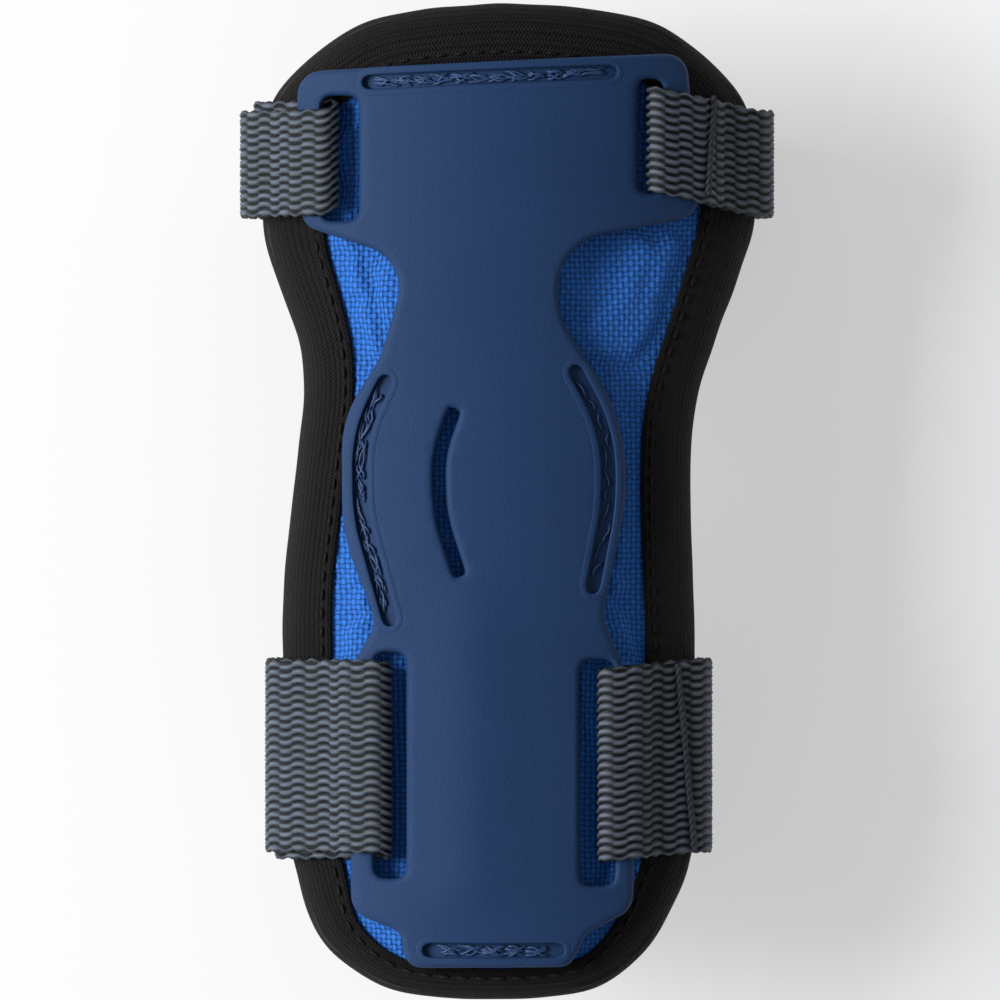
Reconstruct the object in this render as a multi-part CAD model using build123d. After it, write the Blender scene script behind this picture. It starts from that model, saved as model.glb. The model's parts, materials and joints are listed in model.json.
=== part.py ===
from build123d import *
import os
from dataclasses import dataclass
from math import asin, atan2, cos, degrees, hypot, sin, sqrt, tan

# A junior wrist guard, strapped shut and lying on the backs of its two straps.
# +X is to the right seen from above, +Y points to the fingers, +Z is up, through the
# splint plate. The origin is on the floor under the middle of the guard.
# Every layer of the pad and the plate is a shell round one arch axis, parallel to Y.

# Overall
PAD_LENGTH = 160.0
GUARD_HEIGHT = 51.0
ARCH_RADIUS = 62.0          # outer face of the face cloth, from the arch axis

# Pad layers
FACE_THICKNESS = 0.7
FOAM_THICKNESS = 5.0
LINING_THICKNESS = 0.8

# Edge binding: half widths from the middle plane, left and right
BINDING_THICKNESS = 0.7
BINDING_COVER_SIDE = 7.7
BINDING_COVER_HEAD = 6.8
BINDING_COVER_FOOT = 4.7
HEAD_LEFT = 39.3
HEAD_RIGHT = 40.3
WAIST_LEFT = 31.7
WAIST_RIGHT = 29.6
TAIL_LEFT = 35.8
TAIL_RIGHT = 30.2

# Splint plate
PLATE_THICKNESS = 2.2
PLATE_TOP_MARGIN = 8.0      # from the top of the pad to the plate's top edge
PLATE_FOOT_MARGIN = 4.8     # from the bottom of the pad to the plate's foot
PLATE_HEAD_LEFT = 33.9
PLATE_HEAD_RIGHT = 30.6
PLATE_LOW_LEFT = 25.05
PLATE_LOW_RIGHT = 20.45

# Grooves that the plate is sewn through, and the open arc slot
GROOVE_WIDTH = 2.3
GROOVE_WALL = 0.8
GROOVE_FLOOR = 1.2
ARC_SLOT_WIDTH = 2.0
SLOT_ROUNDING = 1.6

# Webbing and its hook-and-loop patches
WEB_THICKNESS = 1.3
PATCH_THICKNESS = 0.9
UPPER_WEB_WIDTH = 17.0
LOWER_WEB_WIDTH = 31.0
EDGE_BEND = 3.2             # middle of the inner ply, round the edge of the pad
STEP_BEND = 1.6             # middle of a ply that steps down off the plate
STEP_LENGTH = 4.0
BACK_BEND = 22.5            # middle of the inner ply, up from the flat back
TAIL_END = 7.0              # below the bend, where the sewn tail stops
HINGE_FLAT = 1.0            # flat webbing between the back bend and the end's hinge
TIP_ROUNDING = 3.0
PATCH_MARGIN = 1.0

# Threads
THREAD_WIDTH = 0.7
THREAD_END = THREAD_WIDTH / 2.2     # rounding at the ends of a stitch
THREAD_HEIGHT = 0.3
STITCH_LENGTH = 2.2
STITCH_PITCH = 3.0

# Clearances
SLIP = 0.1                  # between sewn or pressed layers
FREE_GAP = 0.3              # between pieces that move apart
FOLD_GAP = 0.5              # from a rail's edge to the middle of the fold round it

CLOTH_TOP = ARCH_RADIUS + BINDING_THICKNESS + THREAD_HEIGHT
PLATE_INNER = CLOTH_TOP + 2 * SLIP + WEB_THICKNESS
PLATE_OUTER = PLATE_INNER + PLATE_THICKNESS
PAD_INNER = ARCH_RADIUS - FACE_THICKNESS - FOAM_THICKNESS - LINING_THICKNESS
AXIS_Z = GUARD_HEIGHT - PLATE_OUTER
TOP = PAD_LENGTH / 2
FOOT = -PAD_LENGTH / 2
PLATE_TOP = TOP - PLATE_TOP_MARGIN
PLATE_FOOT = FOOT + PLATE_FOOT_MARGIN
TALL = 4 * ARCH_RADIUS      # longer than any cut has to be
HALF_WEB = WEB_THICKNESS / 2
SHORTEST_EDGE = 0.002
HALF_TURN_GAP = 0.01        # an arc this near to a half turn takes its middle from its side


# Outlines: corners (x, y, radius), joined by straight lines and tangent arcs

def corner_arc(before, corner, after):
    """Return where the arc in a corner starts and ends, its centre, radius and turn."""
    bx, by = corner[0] - before[0], corner[1] - before[1]
    ax, ay = after[0] - corner[0], after[1] - corner[1]
    bl, al = hypot(bx, by), hypot(ax, ay)
    bx, by, ax, ay = bx / bl, by / bl, ax / al, ay / al
    turn = atan2(bx * ay - by * ax, bx * ax + by * ay)
    side = 1 if turn > 0 else -1
    reach = corner[2] * tan(abs(turn) / 2)
    start = (corner[0] - bx * reach, corner[1] - by * reach)
    end = (corner[0] + ax * reach, corner[1] + ay * reach)
    centre = (start[0] - side * by * corner[2], start[1] + side * bx * corner[2])
    return start, end, centre, corner[2], side


def on_arc(arc, offset):
    """Return three points of an arc that is moved sideways, to the left of its path."""
    start, end, centre, radius, side = arc
    moved = radius - side * offset
    sx, sy = (start[0] - centre[0]) / radius, (start[1] - centre[1]) / radius
    ex, ey = (end[0] - centre[0]) / radius, (end[1] - centre[1]) / radius
    mx, my = sx + ex, sy + ey
    length = hypot(mx, my)
    if length < HALF_TURN_GAP:
        mx, my, length = -side * sy, side * sx, 1
    return [(centre[0] + moved * x, centre[1] + moved * y)
            for x, y in ((sx, sy), (mx / length, my / length), (ex, ey))]


def chain(arcs, place):
    """Join three-point arcs by straight lines; place turns a pair into a 3-D point."""
    edges = []
    last = arcs[0][0]
    for points in arcs:
        if hypot(last[0] - points[0][0], last[1] - points[0][1]) > SHORTEST_EDGE:
            edges.append(Line(place(last), place(points[0])))
            last = points[0]
        if len(points) == 3:
            edges.append(ThreePointArc(place(last), place(points[1]), place(points[2])))
            last = points[2]
    return edges


def outline(corners):
    """Return the flat face inside a closed outline of rounded corners."""
    count = len(corners)
    arcs = [on_arc(corner_arc(corners[i - 1], corners[i], corners[(i + 1) % count]), 0)
            for i in range(count)]
    arcs.append(arcs[0][:1])
    return make_face(Wire(chain(arcs, lambda point: Vector(point[0], point[1], 0))))


def band(path, offset_right, offset_left, place):
    """Return the face of a band along an open path of rounded corners."""
    arcs = [corner_arc(path[i - 1], path[i], path[i + 1]) for i in range(1, len(path) - 1)]

    def side(offset):
        points = [on_arc(arc, offset) for arc in arcs]
        for end, inner, where in ((path[0], path[1], 0), (path[-1], path[-2], -1)):
            dx, dy = inner[0] - end[0], inner[1] - end[1]
            if where:
                dx, dy = -dx, -dy
            length = hypot(dx, dy)
            corner = (end[0] - dy / length * offset, end[1] + dx / length * offset)
            points.insert(0 if where == 0 else len(points), [corner])
        return points

    right, left = side(-offset_right), side(offset_left)
    edges = chain(right, place) + chain(left, place)
    edges.append(Line(place(right[0][0]), place(left[0][0])))
    edges.append(Line(place(right[-1][0]), place(left[-1][0])))
    return make_face(Wire(edges))


def column(face):
    """Return a face of the XY plane made into a tall column."""
    return extrude(face, TALL / 2, both=True)


def shell(inner, outer):
    """Return a full round shell about the arch axis."""
    tube = Cylinder(outer, TALL) - Cylinder(inner, 2 * TALL)
    return Pos(0, 0, AXIS_Z) * Rot(90, 0, 0) * tube


def upper_half(part):
    """Keep what lies above the arch axis."""
    return part & Pos(0, 0, AXIS_Z + TALL / 2) * Box(TALL, TALL, TALL)


def layer(face, inner, outer):
    """Return the part of a shell that stands on a flat face."""
    return upper_half(column(face) & shell(inner, outer))


def arch_point(radius, x):
    """Return the (x, z) point above x on a circle about the arch axis."""
    return x, AXIS_Z + sqrt(radius**2 - x**2)


# Pad

def pad_corners():
    """Return the outline of the bound pad, clockwise from the top."""
    return [(1.5, TOP + 0.75, 100), (25.3, TOP - 2.7, 18), (HEAD_RIGHT - 0.4, TOP - 15.3, 12),
            (HEAD_RIGHT, 44.5, 8), (WAIST_RIGHT, 15.5, 40), (WAIST_RIGHT - 0.2, 0, 100),
            (TAIL_RIGHT, -22, 60), (TAIL_RIGHT, FOOT + 22, 15), (23.7, FOOT + 8.5, 10),
            (15.2, FOOT + 0.9, 12), (-2, FOOT - 0.45, 100), (-19.5, FOOT + 0.8, 14),
            (-30.8, FOOT + 8.7, 10), (-TAIL_LEFT, FOOT + 28, 25), (-TAIL_LEFT - 0.2, -14, 60),
            (-WAIST_LEFT, 22.6, 25), (-HEAD_LEFT, 42, 8), (-HEAD_LEFT, TOP - 15, 12),
            (-24, TOP - 2.4, 20)]


def inset(corners, side, head, foot):
    """Move each edge of a clockwise outline inward, by how much it faces up, down or aside."""
    count = len(corners)
    lines = []
    for i in range(count):
        (ax, ay, _), (bx, by, _) = corners[i], corners[(i + 1) % count]
        length = hypot(bx - ax, by - ay)
        nx, ny = -(by - ay) / length, (bx - ax) / length
        depth = side + ((head if ny > 0 else foot) - side) * ny**2
        lines.append((nx, ny, nx * ax + ny * ay - depth, depth))
    moved = []
    for i in range(count):
        (ax, ay, ac, ad), (bx, by, bc, bd) = lines[i - 1], lines[i]
        cross = ax * by - ay * bx
        x, y = (ac * by - bc * ay) / cross, (ax * bc - bx * ac) / cross
        convex = cross < 0
        radius = corners[i][2] + (-1 if convex else 1) * (ad + bd) / 2
        moved.append((x, y, max(radius, 2)))
    return moved


def make_pad():
    """Return the pad's three layers and the binding round its edge."""
    stuffing = outline(inset(pad_corners(), BINDING_THICKNESS, BINDING_THICKNESS,
                             BINDING_THICKNESS))
    window = outline(binding_line(0))
    lining_top = PAD_INNER + LINING_THICKNESS
    foam_top = lining_top + FOAM_THICKNESS
    skin = layer(outline(pad_corners()), PAD_INNER - BINDING_THICKNESS,
                 ARCH_RADIUS + BINDING_THICKNESS)
    return {
        "inner_lining": layer(stuffing, PAD_INNER, lining_top),
        "foam_core": layer(stuffing, lining_top, foam_top),
        "face_cloth": layer(stuffing, foam_top, ARCH_RADIUS),
        "edge_binding": skin - layer(stuffing, PAD_INNER, ARCH_RADIUS) - column(window),
    }


def binding_line(margin):
    """Return the outline a margin outside the inner edge of the binding."""
    return inset(pad_corners(), BINDING_COVER_SIDE - margin, BINDING_COVER_HEAD - margin,
                 BINDING_COVER_FOOT - margin)


# Splint plate

def plate_corners():
    """Return the plate's outline, clockwise from the top left corner."""
    head = [(-PLATE_HEAD_LEFT, PLATE_TOP - 2.9, 4), (PLATE_HEAD_RIGHT - 1.6, PLATE_TOP + 0.1, 3.5),
            (PLATE_HEAD_RIGHT + 0.7, 45.8, 4), (8.3, 41.5, 9)]
    right = [(8.3, 29.6, 12), (19.3, 13, 30), (19.2, 0, 30), (15.4, -19, 8),
             (PLATE_LOW_RIGHT, -30.2, 10), (PLATE_LOW_RIGHT, PLATE_FOOT + 9.4, 4)]
    foot = [(12.9, PLATE_FOOT + 5.6, 2), (10.2, PLATE_FOOT + 0.2, 2.5), (-16.3, PLATE_FOOT, 3),
            (-17, PLATE_FOOT + 5.8, 2), (-PLATE_LOW_LEFT, PLATE_FOOT + 8.9, 4)]
    left = [(-PLATE_LOW_LEFT, -27, 5), (-20.9, -19.6, 3.5), (-26.5, -5.5, 30), (-26.5, 13.2, 18),
            (-20.4, 22.9, 10), (-15.6, 38.6, 7), (1 - PLATE_HEAD_LEFT, 44.3, 3)]
    return head + right + foot + left


TOP_GROOVE = [(-22.2, PLATE_TOP - 4.7, 0), (-3, PLATE_TOP - 3.9, 400), (16.8, PLATE_TOP - 3.1, 0)]
FOOT_GROOVE = [(-12.5, PLATE_FOOT + 2.9, 0), (-2, PLATE_FOOT + 2.8, 400), (8.3, PLATE_FOOT + 2.9, 0)]
LEFT_GROOVE = [(-19.5, 19.2, 0), (-23.7, 10.8, 24), (-23.5, -2.5, 30), (-18.8, -19.2, 0)]
RIGHT_GROOVE = [(11.1, 20.8, 0), (16.4, 11, 26), (16.4, -1, 40), (13.9, -14, 0)]
ARC_SLOT = [(-8.2, 14.8, 0), (-10.9, 7.4, 20), (-10.6, -2.5, 26), (-7.4, -12.2, 0)]


def flat_band(path, width):
    """Return a band of one width along a path in the XY plane."""
    return band(path, width / 2, width / 2, lambda point: Vector(point[0], point[1], 0))


def round_ended(path, width):
    """Return a band with round ends."""
    face = flat_band(path, width)
    for end in (path[0], path[-1]):
        face += Pos(end[0], end[1]) * Circle(width / 2)
    return face


@dataclass(frozen=True)
class StrapPlaces:
    """Where one strap lies, seen from above."""

    low: float          # lower edge of the webbing on the left side of the guard
    width: float
    left_rail: float    # edge of the left rail that the webbing is folded round
    right_rail: float
    left_slot: float    # width of the slot beside the left rail
    right_slot: float
    slot_over: float    # how far the slots run past the webbing
    slot_under: float
    plate_left: float   # outer edges of the plate beside the strap
    plate_right: float
    pad_left: float     # outer edges of the pad beside the strap
    pad_right: float
    tab_gap: float      # between the inner ply and the free outer one
    inner_shift: float  # how far the inner ply lies above the outer one on the left
    skew: float         # how much higher the strap lies at the right slot than at the edge
    seam_x: float
    hook_length: float
    tab_length: float

    @property
    def high(self):
        return self.low + self.width

    @property
    def middle(self):
        return self.low + self.width / 2


UPPER = StrapPlaces(low=46.0, width=UPPER_WEB_WIDTH, left_rail=-29.9, right_rail=25.3,
                    left_slot=6.2, right_slot=4.3, slot_over=2.2, slot_under=1.0,
                    plate_left=34.0, plate_right=31.4, pad_left=HEAD_LEFT, pad_right=HEAD_RIGHT,
                    tab_gap=0.9, inner_shift=1.6, skew=4.4, seam_x=36.6,
                    hook_length=24, tab_length=31)
LOWER = StrapPlaces(low=-56.8, width=LOWER_WEB_WIDTH, left_rail=-21.3, right_rail=17.5,
                    left_slot=5.2, right_slot=5.7, slot_over=1.4, slot_under=4.0,
                    plate_left=PLATE_LOW_LEFT, plate_right=PLATE_LOW_RIGHT,
                    pad_left=TAIL_LEFT, pad_right=TAIL_RIGHT,
                    tab_gap=0.3, inner_shift=-1.0, skew=-1.2, seam_x=29.2,
                    hook_length=16, tab_length=21)


def slot_faces(strap):
    """Return the left and right slot outlines for one strap."""
    left = (strap.left_rail, strap.left_rail + strap.left_slot)
    right = (strap.right_rail - strap.right_slot, strap.right_rail)
    faces = []
    for (x0, x1), lift in ((left, 0), (right, strap.skew)):
        y0 = strap.low - strap.slot_under + lift
        y1 = strap.high + strap.slot_over + lift
        faces.append(Pos((x0 + x1) / 2, (y0 + y1) / 2)
                     * RectangleRounded(x1 - x0, y1 - y0, SLOT_ROUNDING))
    return faces


def make_plate():
    """Return the splint plate, which stands on the face cloth on its grooves' floors."""
    body = layer(outline(plate_corners()), PLATE_INNER, PLATE_OUTER)
    grooves = (TOP_GROOVE, FOOT_GROOVE, LEFT_GROOVE, RIGHT_GROOVE)
    for path in grooves:
        body += layer(round_ended(path, GROOVE_WIDTH + 2 * GROOVE_WALL), ARCH_RADIUS,
                      PLATE_INNER + PLATE_THICKNESS / 2)
    for path in grooves:
        body -= layer(round_ended(path, GROOVE_WIDTH), ARCH_RADIUS + GROOVE_FLOOR,
                      PLATE_OUTER + PLATE_THICKNESS)
    for face in slot_faces(UPPER) + slot_faces(LOWER) + [flat_band(ARC_SLOT, ARC_SLOT_WIDTH)]:
        body -= column(face)
    return body


# Straps: paths (x, z, radius) of the middle of the webbing, extruded along Y

UNDER = CLOTH_TOP + SLIP + HALF_WEB             # ply between the pad and the plate
OVER_SEWN = PLATE_OUTER + SLIP + HALF_WEB       # ply over a right rail
OVER_FREE = PLATE_OUTER + FREE_GAP + HALF_WEB   # ply over a left rail
PAD_GAP = THREAD_HEIGHT + SLIP
RUN_BACK_Z = 1.5 * WEB_THICKNESS + 2 * PATCH_THICKNESS + FREE_GAP
PLAN_SPLIT_Z = RUN_BACK_Z + BACK_BEND + 1


def arch_arc(radius, first, last):
    """Return the one corner that makes an arc of the arch between two angles."""
    middle, half = (first + last) / 2, abs(last - first) / 2
    reach = radius / cos(half)
    return reach * sin(middle), AXIS_Z + reach * cos(middle), radius


def past(radius, angle, distance):
    """Return the (x, z) point at a distance along the tangent at an angle of the arch."""
    return (radius * sin(angle) + distance * cos(angle),
            AXIS_Z + radius * cos(angle) - distance * sin(angle))


def edge_bend(side, x, arch, bend):
    """Return a bend's angle on the arch and its corner, where a ply turns down at x."""
    angle = asin((x - bend) / (arch - bend))
    return side * angle, (side * x, AXIS_Z + (arch - x * sin(angle)) / cos(angle), bend)


def fold(side, rail, over):
    """Return the angle, the two corners and the upper end of a fold round a rail's edge."""
    radius = (over - UNDER) / 2
    angle = asin((rail - side * FOLD_GAP) / ((over + UNDER) / 2))
    corners = [past(arch, angle, -side * radius) + (radius,) for arch in (UNDER, over)]
    return angle, corners, past(over, angle, 0)


def step_down(side, plate_edge, over, lower):
    """Return the angles and corners of a ply's step off the plate onto a lower arch."""
    first = side * asin((plate_edge + SLIP) / over)
    second = side * asin((plate_edge + SLIP + STEP_LENGTH) / lower)
    reach = 0
    for _ in range(8):
        (x0, z0), (x1, z1) = past(over, first, side * reach), past(lower, second, -side * reach)
        turn = atan2(z0 - z1, abs(x1 - x0)) - abs(first)
        reach = STEP_BEND * tan(turn / 2)
    return first, second, [(x0, z0, STEP_BEND), (x1, z1, STEP_BEND)]


def run_path(strap):
    """Return the sewn ply's path, from its tail round the wrist to the fold on the left rail."""
    tail_x = strap.pad_right + PAD_GAP + HALF_WEB
    tail_angle, tail_bend = edge_bend(1, tail_x, UNDER, EDGE_BEND)
    right_angle, right_fold, _ = fold(1, strap.right_rail, OVER_SEWN)
    spread = WEB_THICKNESS + SLIP
    off, on, step = step_down(1, strap.plate_right, OVER_SEWN, UNDER + spread)
    top_angle, top_bend = edge_bend(1, tail_x + spread, UNDER + spread, EDGE_BEND + spread)
    left_x = strap.pad_left + PAD_GAP + HALF_WEB
    left_angle, left_bend = edge_bend(-1, left_x, UNDER, EDGE_BEND)
    fold_angle, left_fold, end = fold(-1, strap.left_rail, OVER_FREE)
    return [(tail_x, tail_bend[1] - TAIL_END), tail_bend,
            arch_arc(UNDER, tail_angle, right_angle), *right_fold,
            arch_arc(OVER_SEWN, right_angle, off), *step,
            arch_arc(UNDER + spread, on, top_angle), top_bend,
            (tail_x + spread, RUN_BACK_Z, BACK_BEND), (-left_x, RUN_BACK_Z, BACK_BEND),
            left_bend, arch_arc(UNDER, left_angle, fold_angle), *left_fold, end]


def tab_x(strap):
    """Return how far left the middle of the free outer ply hangs."""
    return strap.pad_left + PAD_GAP + HALF_WEB + WEB_THICKNESS + strap.tab_gap


def end_hinge_x(strap):
    """Return x of the bend that a strap's free end peels about; it is on the floor."""
    return RUN_BACK_Z - HALF_WEB + BACK_BEND - tab_x(strap) + HINGE_FLAT


def side_path(strap):
    """Return the free side's path, from the fold on the left rail to the flat back."""
    spread = WEB_THICKNESS + strap.tab_gap
    angle = fold(-1, strap.left_rail, OVER_FREE)[0]
    off, on, step = step_down(-1, strap.plate_left, OVER_FREE, UNDER + spread)
    bend_angle, bend = edge_bend(-1, tab_x(strap), UNDER + spread, EDGE_BEND + spread)
    start = angle - FREE_GAP / OVER_FREE
    return [past(OVER_FREE, start, 0), arch_arc(OVER_FREE, start, off), *step,
            arch_arc(UNDER + spread, on, bend_angle), bend,
            (-tab_x(strap), HALF_WEB, RUN_BACK_Z - HALF_WEB + BACK_BEND),
            (end_hinge_x(strap) - FREE_GAP / 2, HALF_WEB)]


def webbing(path, low, high):
    """Return webbing that follows a path in the XZ plane, between two Y places."""
    face = band(path, HALF_WEB, HALF_WEB, lambda point: Vector(point[0], low, point[1])).face()
    if face.normal_at().Y < 0:
        face = -face
    return extrude(face, high - low, dir=(0, 1, 0))


def make_run(strap):
    """Return the sewn ply: it lies aslant over the right rail and across the back."""
    reach = abs(strap.skew) + abs(strap.inner_shift)
    full = webbing(run_path(strap), strap.low - reach, strap.high + reach)
    far = ARCH_RADIUS

    def plan(points):
        """Return a column over (x, lift) points, as wide as the webbing."""
        lows = [(x, strap.low + lift) for x, lift in points]
        highs = [(x, strap.high + lift) for x, lift in reversed(points)]
        return column(make_face(Polyline(*lows, *highs, close=True)))

    above = plan([(-far, strap.inner_shift), (0, strap.inner_shift),
                  (strap.right_rail - strap.right_slot, strap.skew), (strap.pad_right, 0),
                  (far, 0)])
    below = plan([(-far, strap.inner_shift), (end_hinge_x(strap), strap.inner_shift),
                  (-end_hinge_x(strap), 0), (far, 0)])
    split = Pos(0, 0, PLAN_SPLIT_Z + TALL / 2) * Box(TALL, TALL, TALL)
    return (full & above & split) + ((full & below) - split)


def block(x0, x1, y0, y1, z0, z1):
    """Return a box between six planes."""
    return Pos((x0 + x1) / 2, (y0 + y1) / 2, (z0 + z1) / 2) * Box(x1 - x0, y1 - y0, z1 - z0)


def make_strap(strap, name):
    """Return the pieces of one strap: its sewn run, free side and end, seam and patches."""
    hinge = end_hinge_x(strap)
    end = block(hinge + FREE_GAP / 2, hinge + strap.tab_length, strap.low, strap.high,
                0, WEB_THICKNESS)
    tips = end.edges().filter_by(Axis.Z).group_by(Axis.X)[-1]
    low, high = strap.low + PATCH_MARGIN, strap.high - PATCH_MARGIN
    hook_x = hinge + strap.tab_length - PATCH_MARGIN - strap.hook_length
    loop_top = RUN_BACK_Z - HALF_WEB
    loop_low, loop_high = low + max(strap.inner_shift, 0), high + min(strap.inner_shift, 0)
    loop_x0, loop_x1 = hook_x - PATCH_MARGIN, hook_x + strap.hook_length + PATCH_MARGIN
    return {
        f"{name}_strap_run": make_run(strap),
        f"{name}_strap_seam": make_seam(strap),
        f"{name}_strap_side": webbing(side_path(strap), strap.low, strap.high),
        f"{name}_strap_end": fillet(tips, TIP_ROUNDING),
        f"{name}_hook_patch": block(hook_x, hook_x + strap.hook_length, low, high,
                                    WEB_THICKNESS, WEB_THICKNESS + PATCH_THICKNESS),
        f"{name}_loop_patch": block(loop_x0, loop_x1, loop_low, loop_high,
                                    loop_top - PATCH_THICKNESS, loop_top),
        f"{name}_loop_stitching": make_loop_stitches(loop_x0, loop_x1, loop_low, loop_high),
    }


# Threads: short flat bars that lie on the piece they hold

def stitch(x, y, angle):
    """Return one stitch's outline seen from above."""
    return Pos(x, y) * Rot(0, 0, angle) * RectangleRounded(STITCH_LENGTH, THREAD_WIDTH,
                                                           THREAD_END)


def along(wire, pitch):
    """Return (x, y, angle) at an even pitch along a wire in the XY plane."""
    count = int(wire.length / pitch)
    places = [(number + 0.5) / count for number in range(count)]
    found = []
    for place in places:
        point, heading = wire.position_at(place), wire.tangent_at(place)
        found.append((point.X, point.Y, degrees(atan2(heading.Y, heading.X))))
    return found


def threads(places, radius, height):
    """Return a row of stitches that stands on one radius of the arch."""
    bars = []
    for x, y, angle in places:
        x_on, z_on = arch_point(radius, x)
        lean = degrees(asin(x / radius))
        bar = Pos(x_on, y, z_on) * Rot(0, lean, 0) * extrude(stitch(0, 0, angle), height)
        bars.append(bar.solid())
    return Compound(bars)


def groove_stitches(path):
    """Return the stitches on the floor of one groove of the plate."""
    arcs = [on_arc(corner_arc(path[i - 1], path[i], path[i + 1]), 0)
            for i in range(1, len(path) - 1)]
    wire = Wire(chain([[path[0][:2]], *arcs, [path[-1][:2]]],
                      lambda point: Vector(point[0], point[1], 0)))
    floor = ARCH_RADIUS + GROOVE_FLOOR
    return threads(along(wire, STITCH_PITCH), floor, 2 * THREAD_HEIGHT)


def binding_stitches():
    """Return the stitches just inside the binding's inner edge, all round the pad."""
    wire = outline(binding_line(PATCH_MARGIN)).wire()
    return threads(along(wire, STITCH_PITCH), ARCH_RADIUS + BINDING_THICKNESS, THREAD_HEIGHT)


def make_seam(strap):
    """Return the stitches that hold a strap's tail, across the webbing."""
    outer = UNDER + WEB_THICKNESS + SLIP + HALF_WEB
    count = int((strap.width - 2 * PATCH_MARGIN) / STITCH_PITCH)
    first = strap.middle - (count - 1) * STITCH_PITCH / 2
    share = (strap.pad_right - strap.seam_x) / (strap.pad_right - strap.right_rail
                                                 + strap.right_slot)
    lift = strap.skew * share
    places = [(strap.seam_x, first + number * STITCH_PITCH + lift, 90)
              for number in range(count)]
    return threads(places, outer, THREAD_HEIGHT)


def make_loop_stitches(x0, x1, y0, y1):
    """Return the stitches of a loop patch, on the inner face of the strap's back."""
    margin = 2 * THREAD_WIDTH
    frame = Wire.make_rect(x1 - x0 - 2 * margin, y1 - y0 - 2 * margin)
    wire = frame.moved(Location(((x0 + x1) / 2, (y0 + y1) / 2, 0)))
    face = RUN_BACK_Z + HALF_WEB
    return Compound([(Pos(0, 0, face) * extrude(stitch(*place), THREAD_HEIGHT)).solid()
                     for place in along(wire, STITCH_PITCH)])


def make_guard():
    """Return every piece of the guard by its node's name."""
    pieces = {"splint_plate": make_plate(), **make_pad()}
    pieces["binding_stitching"] = binding_stitches()
    pieces["top_groove_stitching"] = groove_stitches(TOP_GROOVE)
    pieces["left_groove_stitching"] = groove_stitches(LEFT_GROOVE)
    pieces["right_groove_stitching"] = groove_stitches(RIGHT_GROOVE)
    pieces["foot_groove_stitching"] = groove_stitches(FOOT_GROOVE)
    pieces.update(make_strap(UPPER, "upper"))
    pieces.update(make_strap(LOWER, "lower"))
    return pieces


os.makedirs("parts", exist_ok=True)
for node, piece in make_guard().items():
    export_step(piece, f"parts/{node}.step")
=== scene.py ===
"""Looks of a junior wrist guard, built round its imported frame.

Lengths inside the classes are in millimetres; meshes are written in metres.
"""

import json
import logging
import math
import random
from dataclasses import dataclass
from enum import Enum
from typing import Iterable, Sequence

import bmesh
import bpy
import numpy as np
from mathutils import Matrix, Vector

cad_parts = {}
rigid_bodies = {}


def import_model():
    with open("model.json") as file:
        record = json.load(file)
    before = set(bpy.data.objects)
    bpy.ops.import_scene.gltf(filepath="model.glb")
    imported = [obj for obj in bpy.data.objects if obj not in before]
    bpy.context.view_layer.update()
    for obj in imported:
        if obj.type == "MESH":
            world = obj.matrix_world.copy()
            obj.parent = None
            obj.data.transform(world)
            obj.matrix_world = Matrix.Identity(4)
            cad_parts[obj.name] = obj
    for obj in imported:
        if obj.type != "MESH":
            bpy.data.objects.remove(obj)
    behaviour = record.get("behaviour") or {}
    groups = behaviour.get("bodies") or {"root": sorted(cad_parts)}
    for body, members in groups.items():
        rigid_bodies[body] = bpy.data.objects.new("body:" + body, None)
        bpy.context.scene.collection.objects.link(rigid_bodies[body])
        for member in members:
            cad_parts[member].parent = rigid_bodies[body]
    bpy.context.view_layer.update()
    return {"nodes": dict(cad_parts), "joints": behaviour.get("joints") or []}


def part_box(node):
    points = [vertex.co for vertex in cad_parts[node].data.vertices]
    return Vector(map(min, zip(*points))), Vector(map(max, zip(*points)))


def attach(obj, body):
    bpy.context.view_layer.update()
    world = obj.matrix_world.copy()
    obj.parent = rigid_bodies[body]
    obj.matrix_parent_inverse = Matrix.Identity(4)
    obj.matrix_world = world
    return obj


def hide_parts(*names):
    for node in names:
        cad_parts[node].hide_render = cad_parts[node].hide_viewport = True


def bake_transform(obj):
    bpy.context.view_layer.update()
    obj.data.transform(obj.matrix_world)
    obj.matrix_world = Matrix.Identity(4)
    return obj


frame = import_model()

log = logging.getLogger("wrist_guard")

MM = 0.001
MERGE = 1e-6
SKIN_MERGE = 2e-6
SKIN_TOLERANCE = 0.02
SHIFT_STEP = 0.6
DEPTH_STEP = 0.5
DEPTH_BLOCK = 64
Point = tuple[float, float]
Corner = tuple[float, float, float]


# Frame: the radii of the layers about the arch axis, and where the axis is

CLOTH_RADIUS = 62.0
BINDING_THICKNESS = 0.7
THREAD_HEIGHT = 0.3
SLIP = 0.1
FREE_GAP = 0.3
WEB = 1.3
PATCH = 0.9
PLATE_THICKNESS = 2.2
GROOVE_FLOOR = 1.2
GROOVE_DEPTH = 1.25
PAD_INNER = CLOTH_RADIUS - 6.5
PLATE_INNER = CLOTH_RADIUS + BINDING_THICKNESS + THREAD_HEIGHT + 2 * SLIP + WEB
PLATE_OUTER = PLATE_INNER + PLATE_THICKNESS
AXIS_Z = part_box("splint_plate")[1][2] / MM - PLATE_OUTER
UNDER = CLOTH_RADIUS + BINDING_THICKNESS + THREAD_HEIGHT + SLIP + WEB / 2


def arch_z(radius: float, x: float) -> float:
    """Return the height above x of a circle about the arch axis."""
    return AXIS_Z + math.sqrt(max(radius**2 - x**2, 0.0))


def rng(seed: int) -> random.Random:
    """Return a repeatable source of random numbers."""
    return random.Random(seed)


def deselect() -> None:
    """Deselect every object."""
    for item in bpy.data.objects:
        item.select_set(False)


def activate(obj: bpy.types.Object) -> None:
    """Select one object alone and make it active."""
    deselect()
    obj.select_set(True)
    bpy.context.view_layer.objects.active = obj


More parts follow.
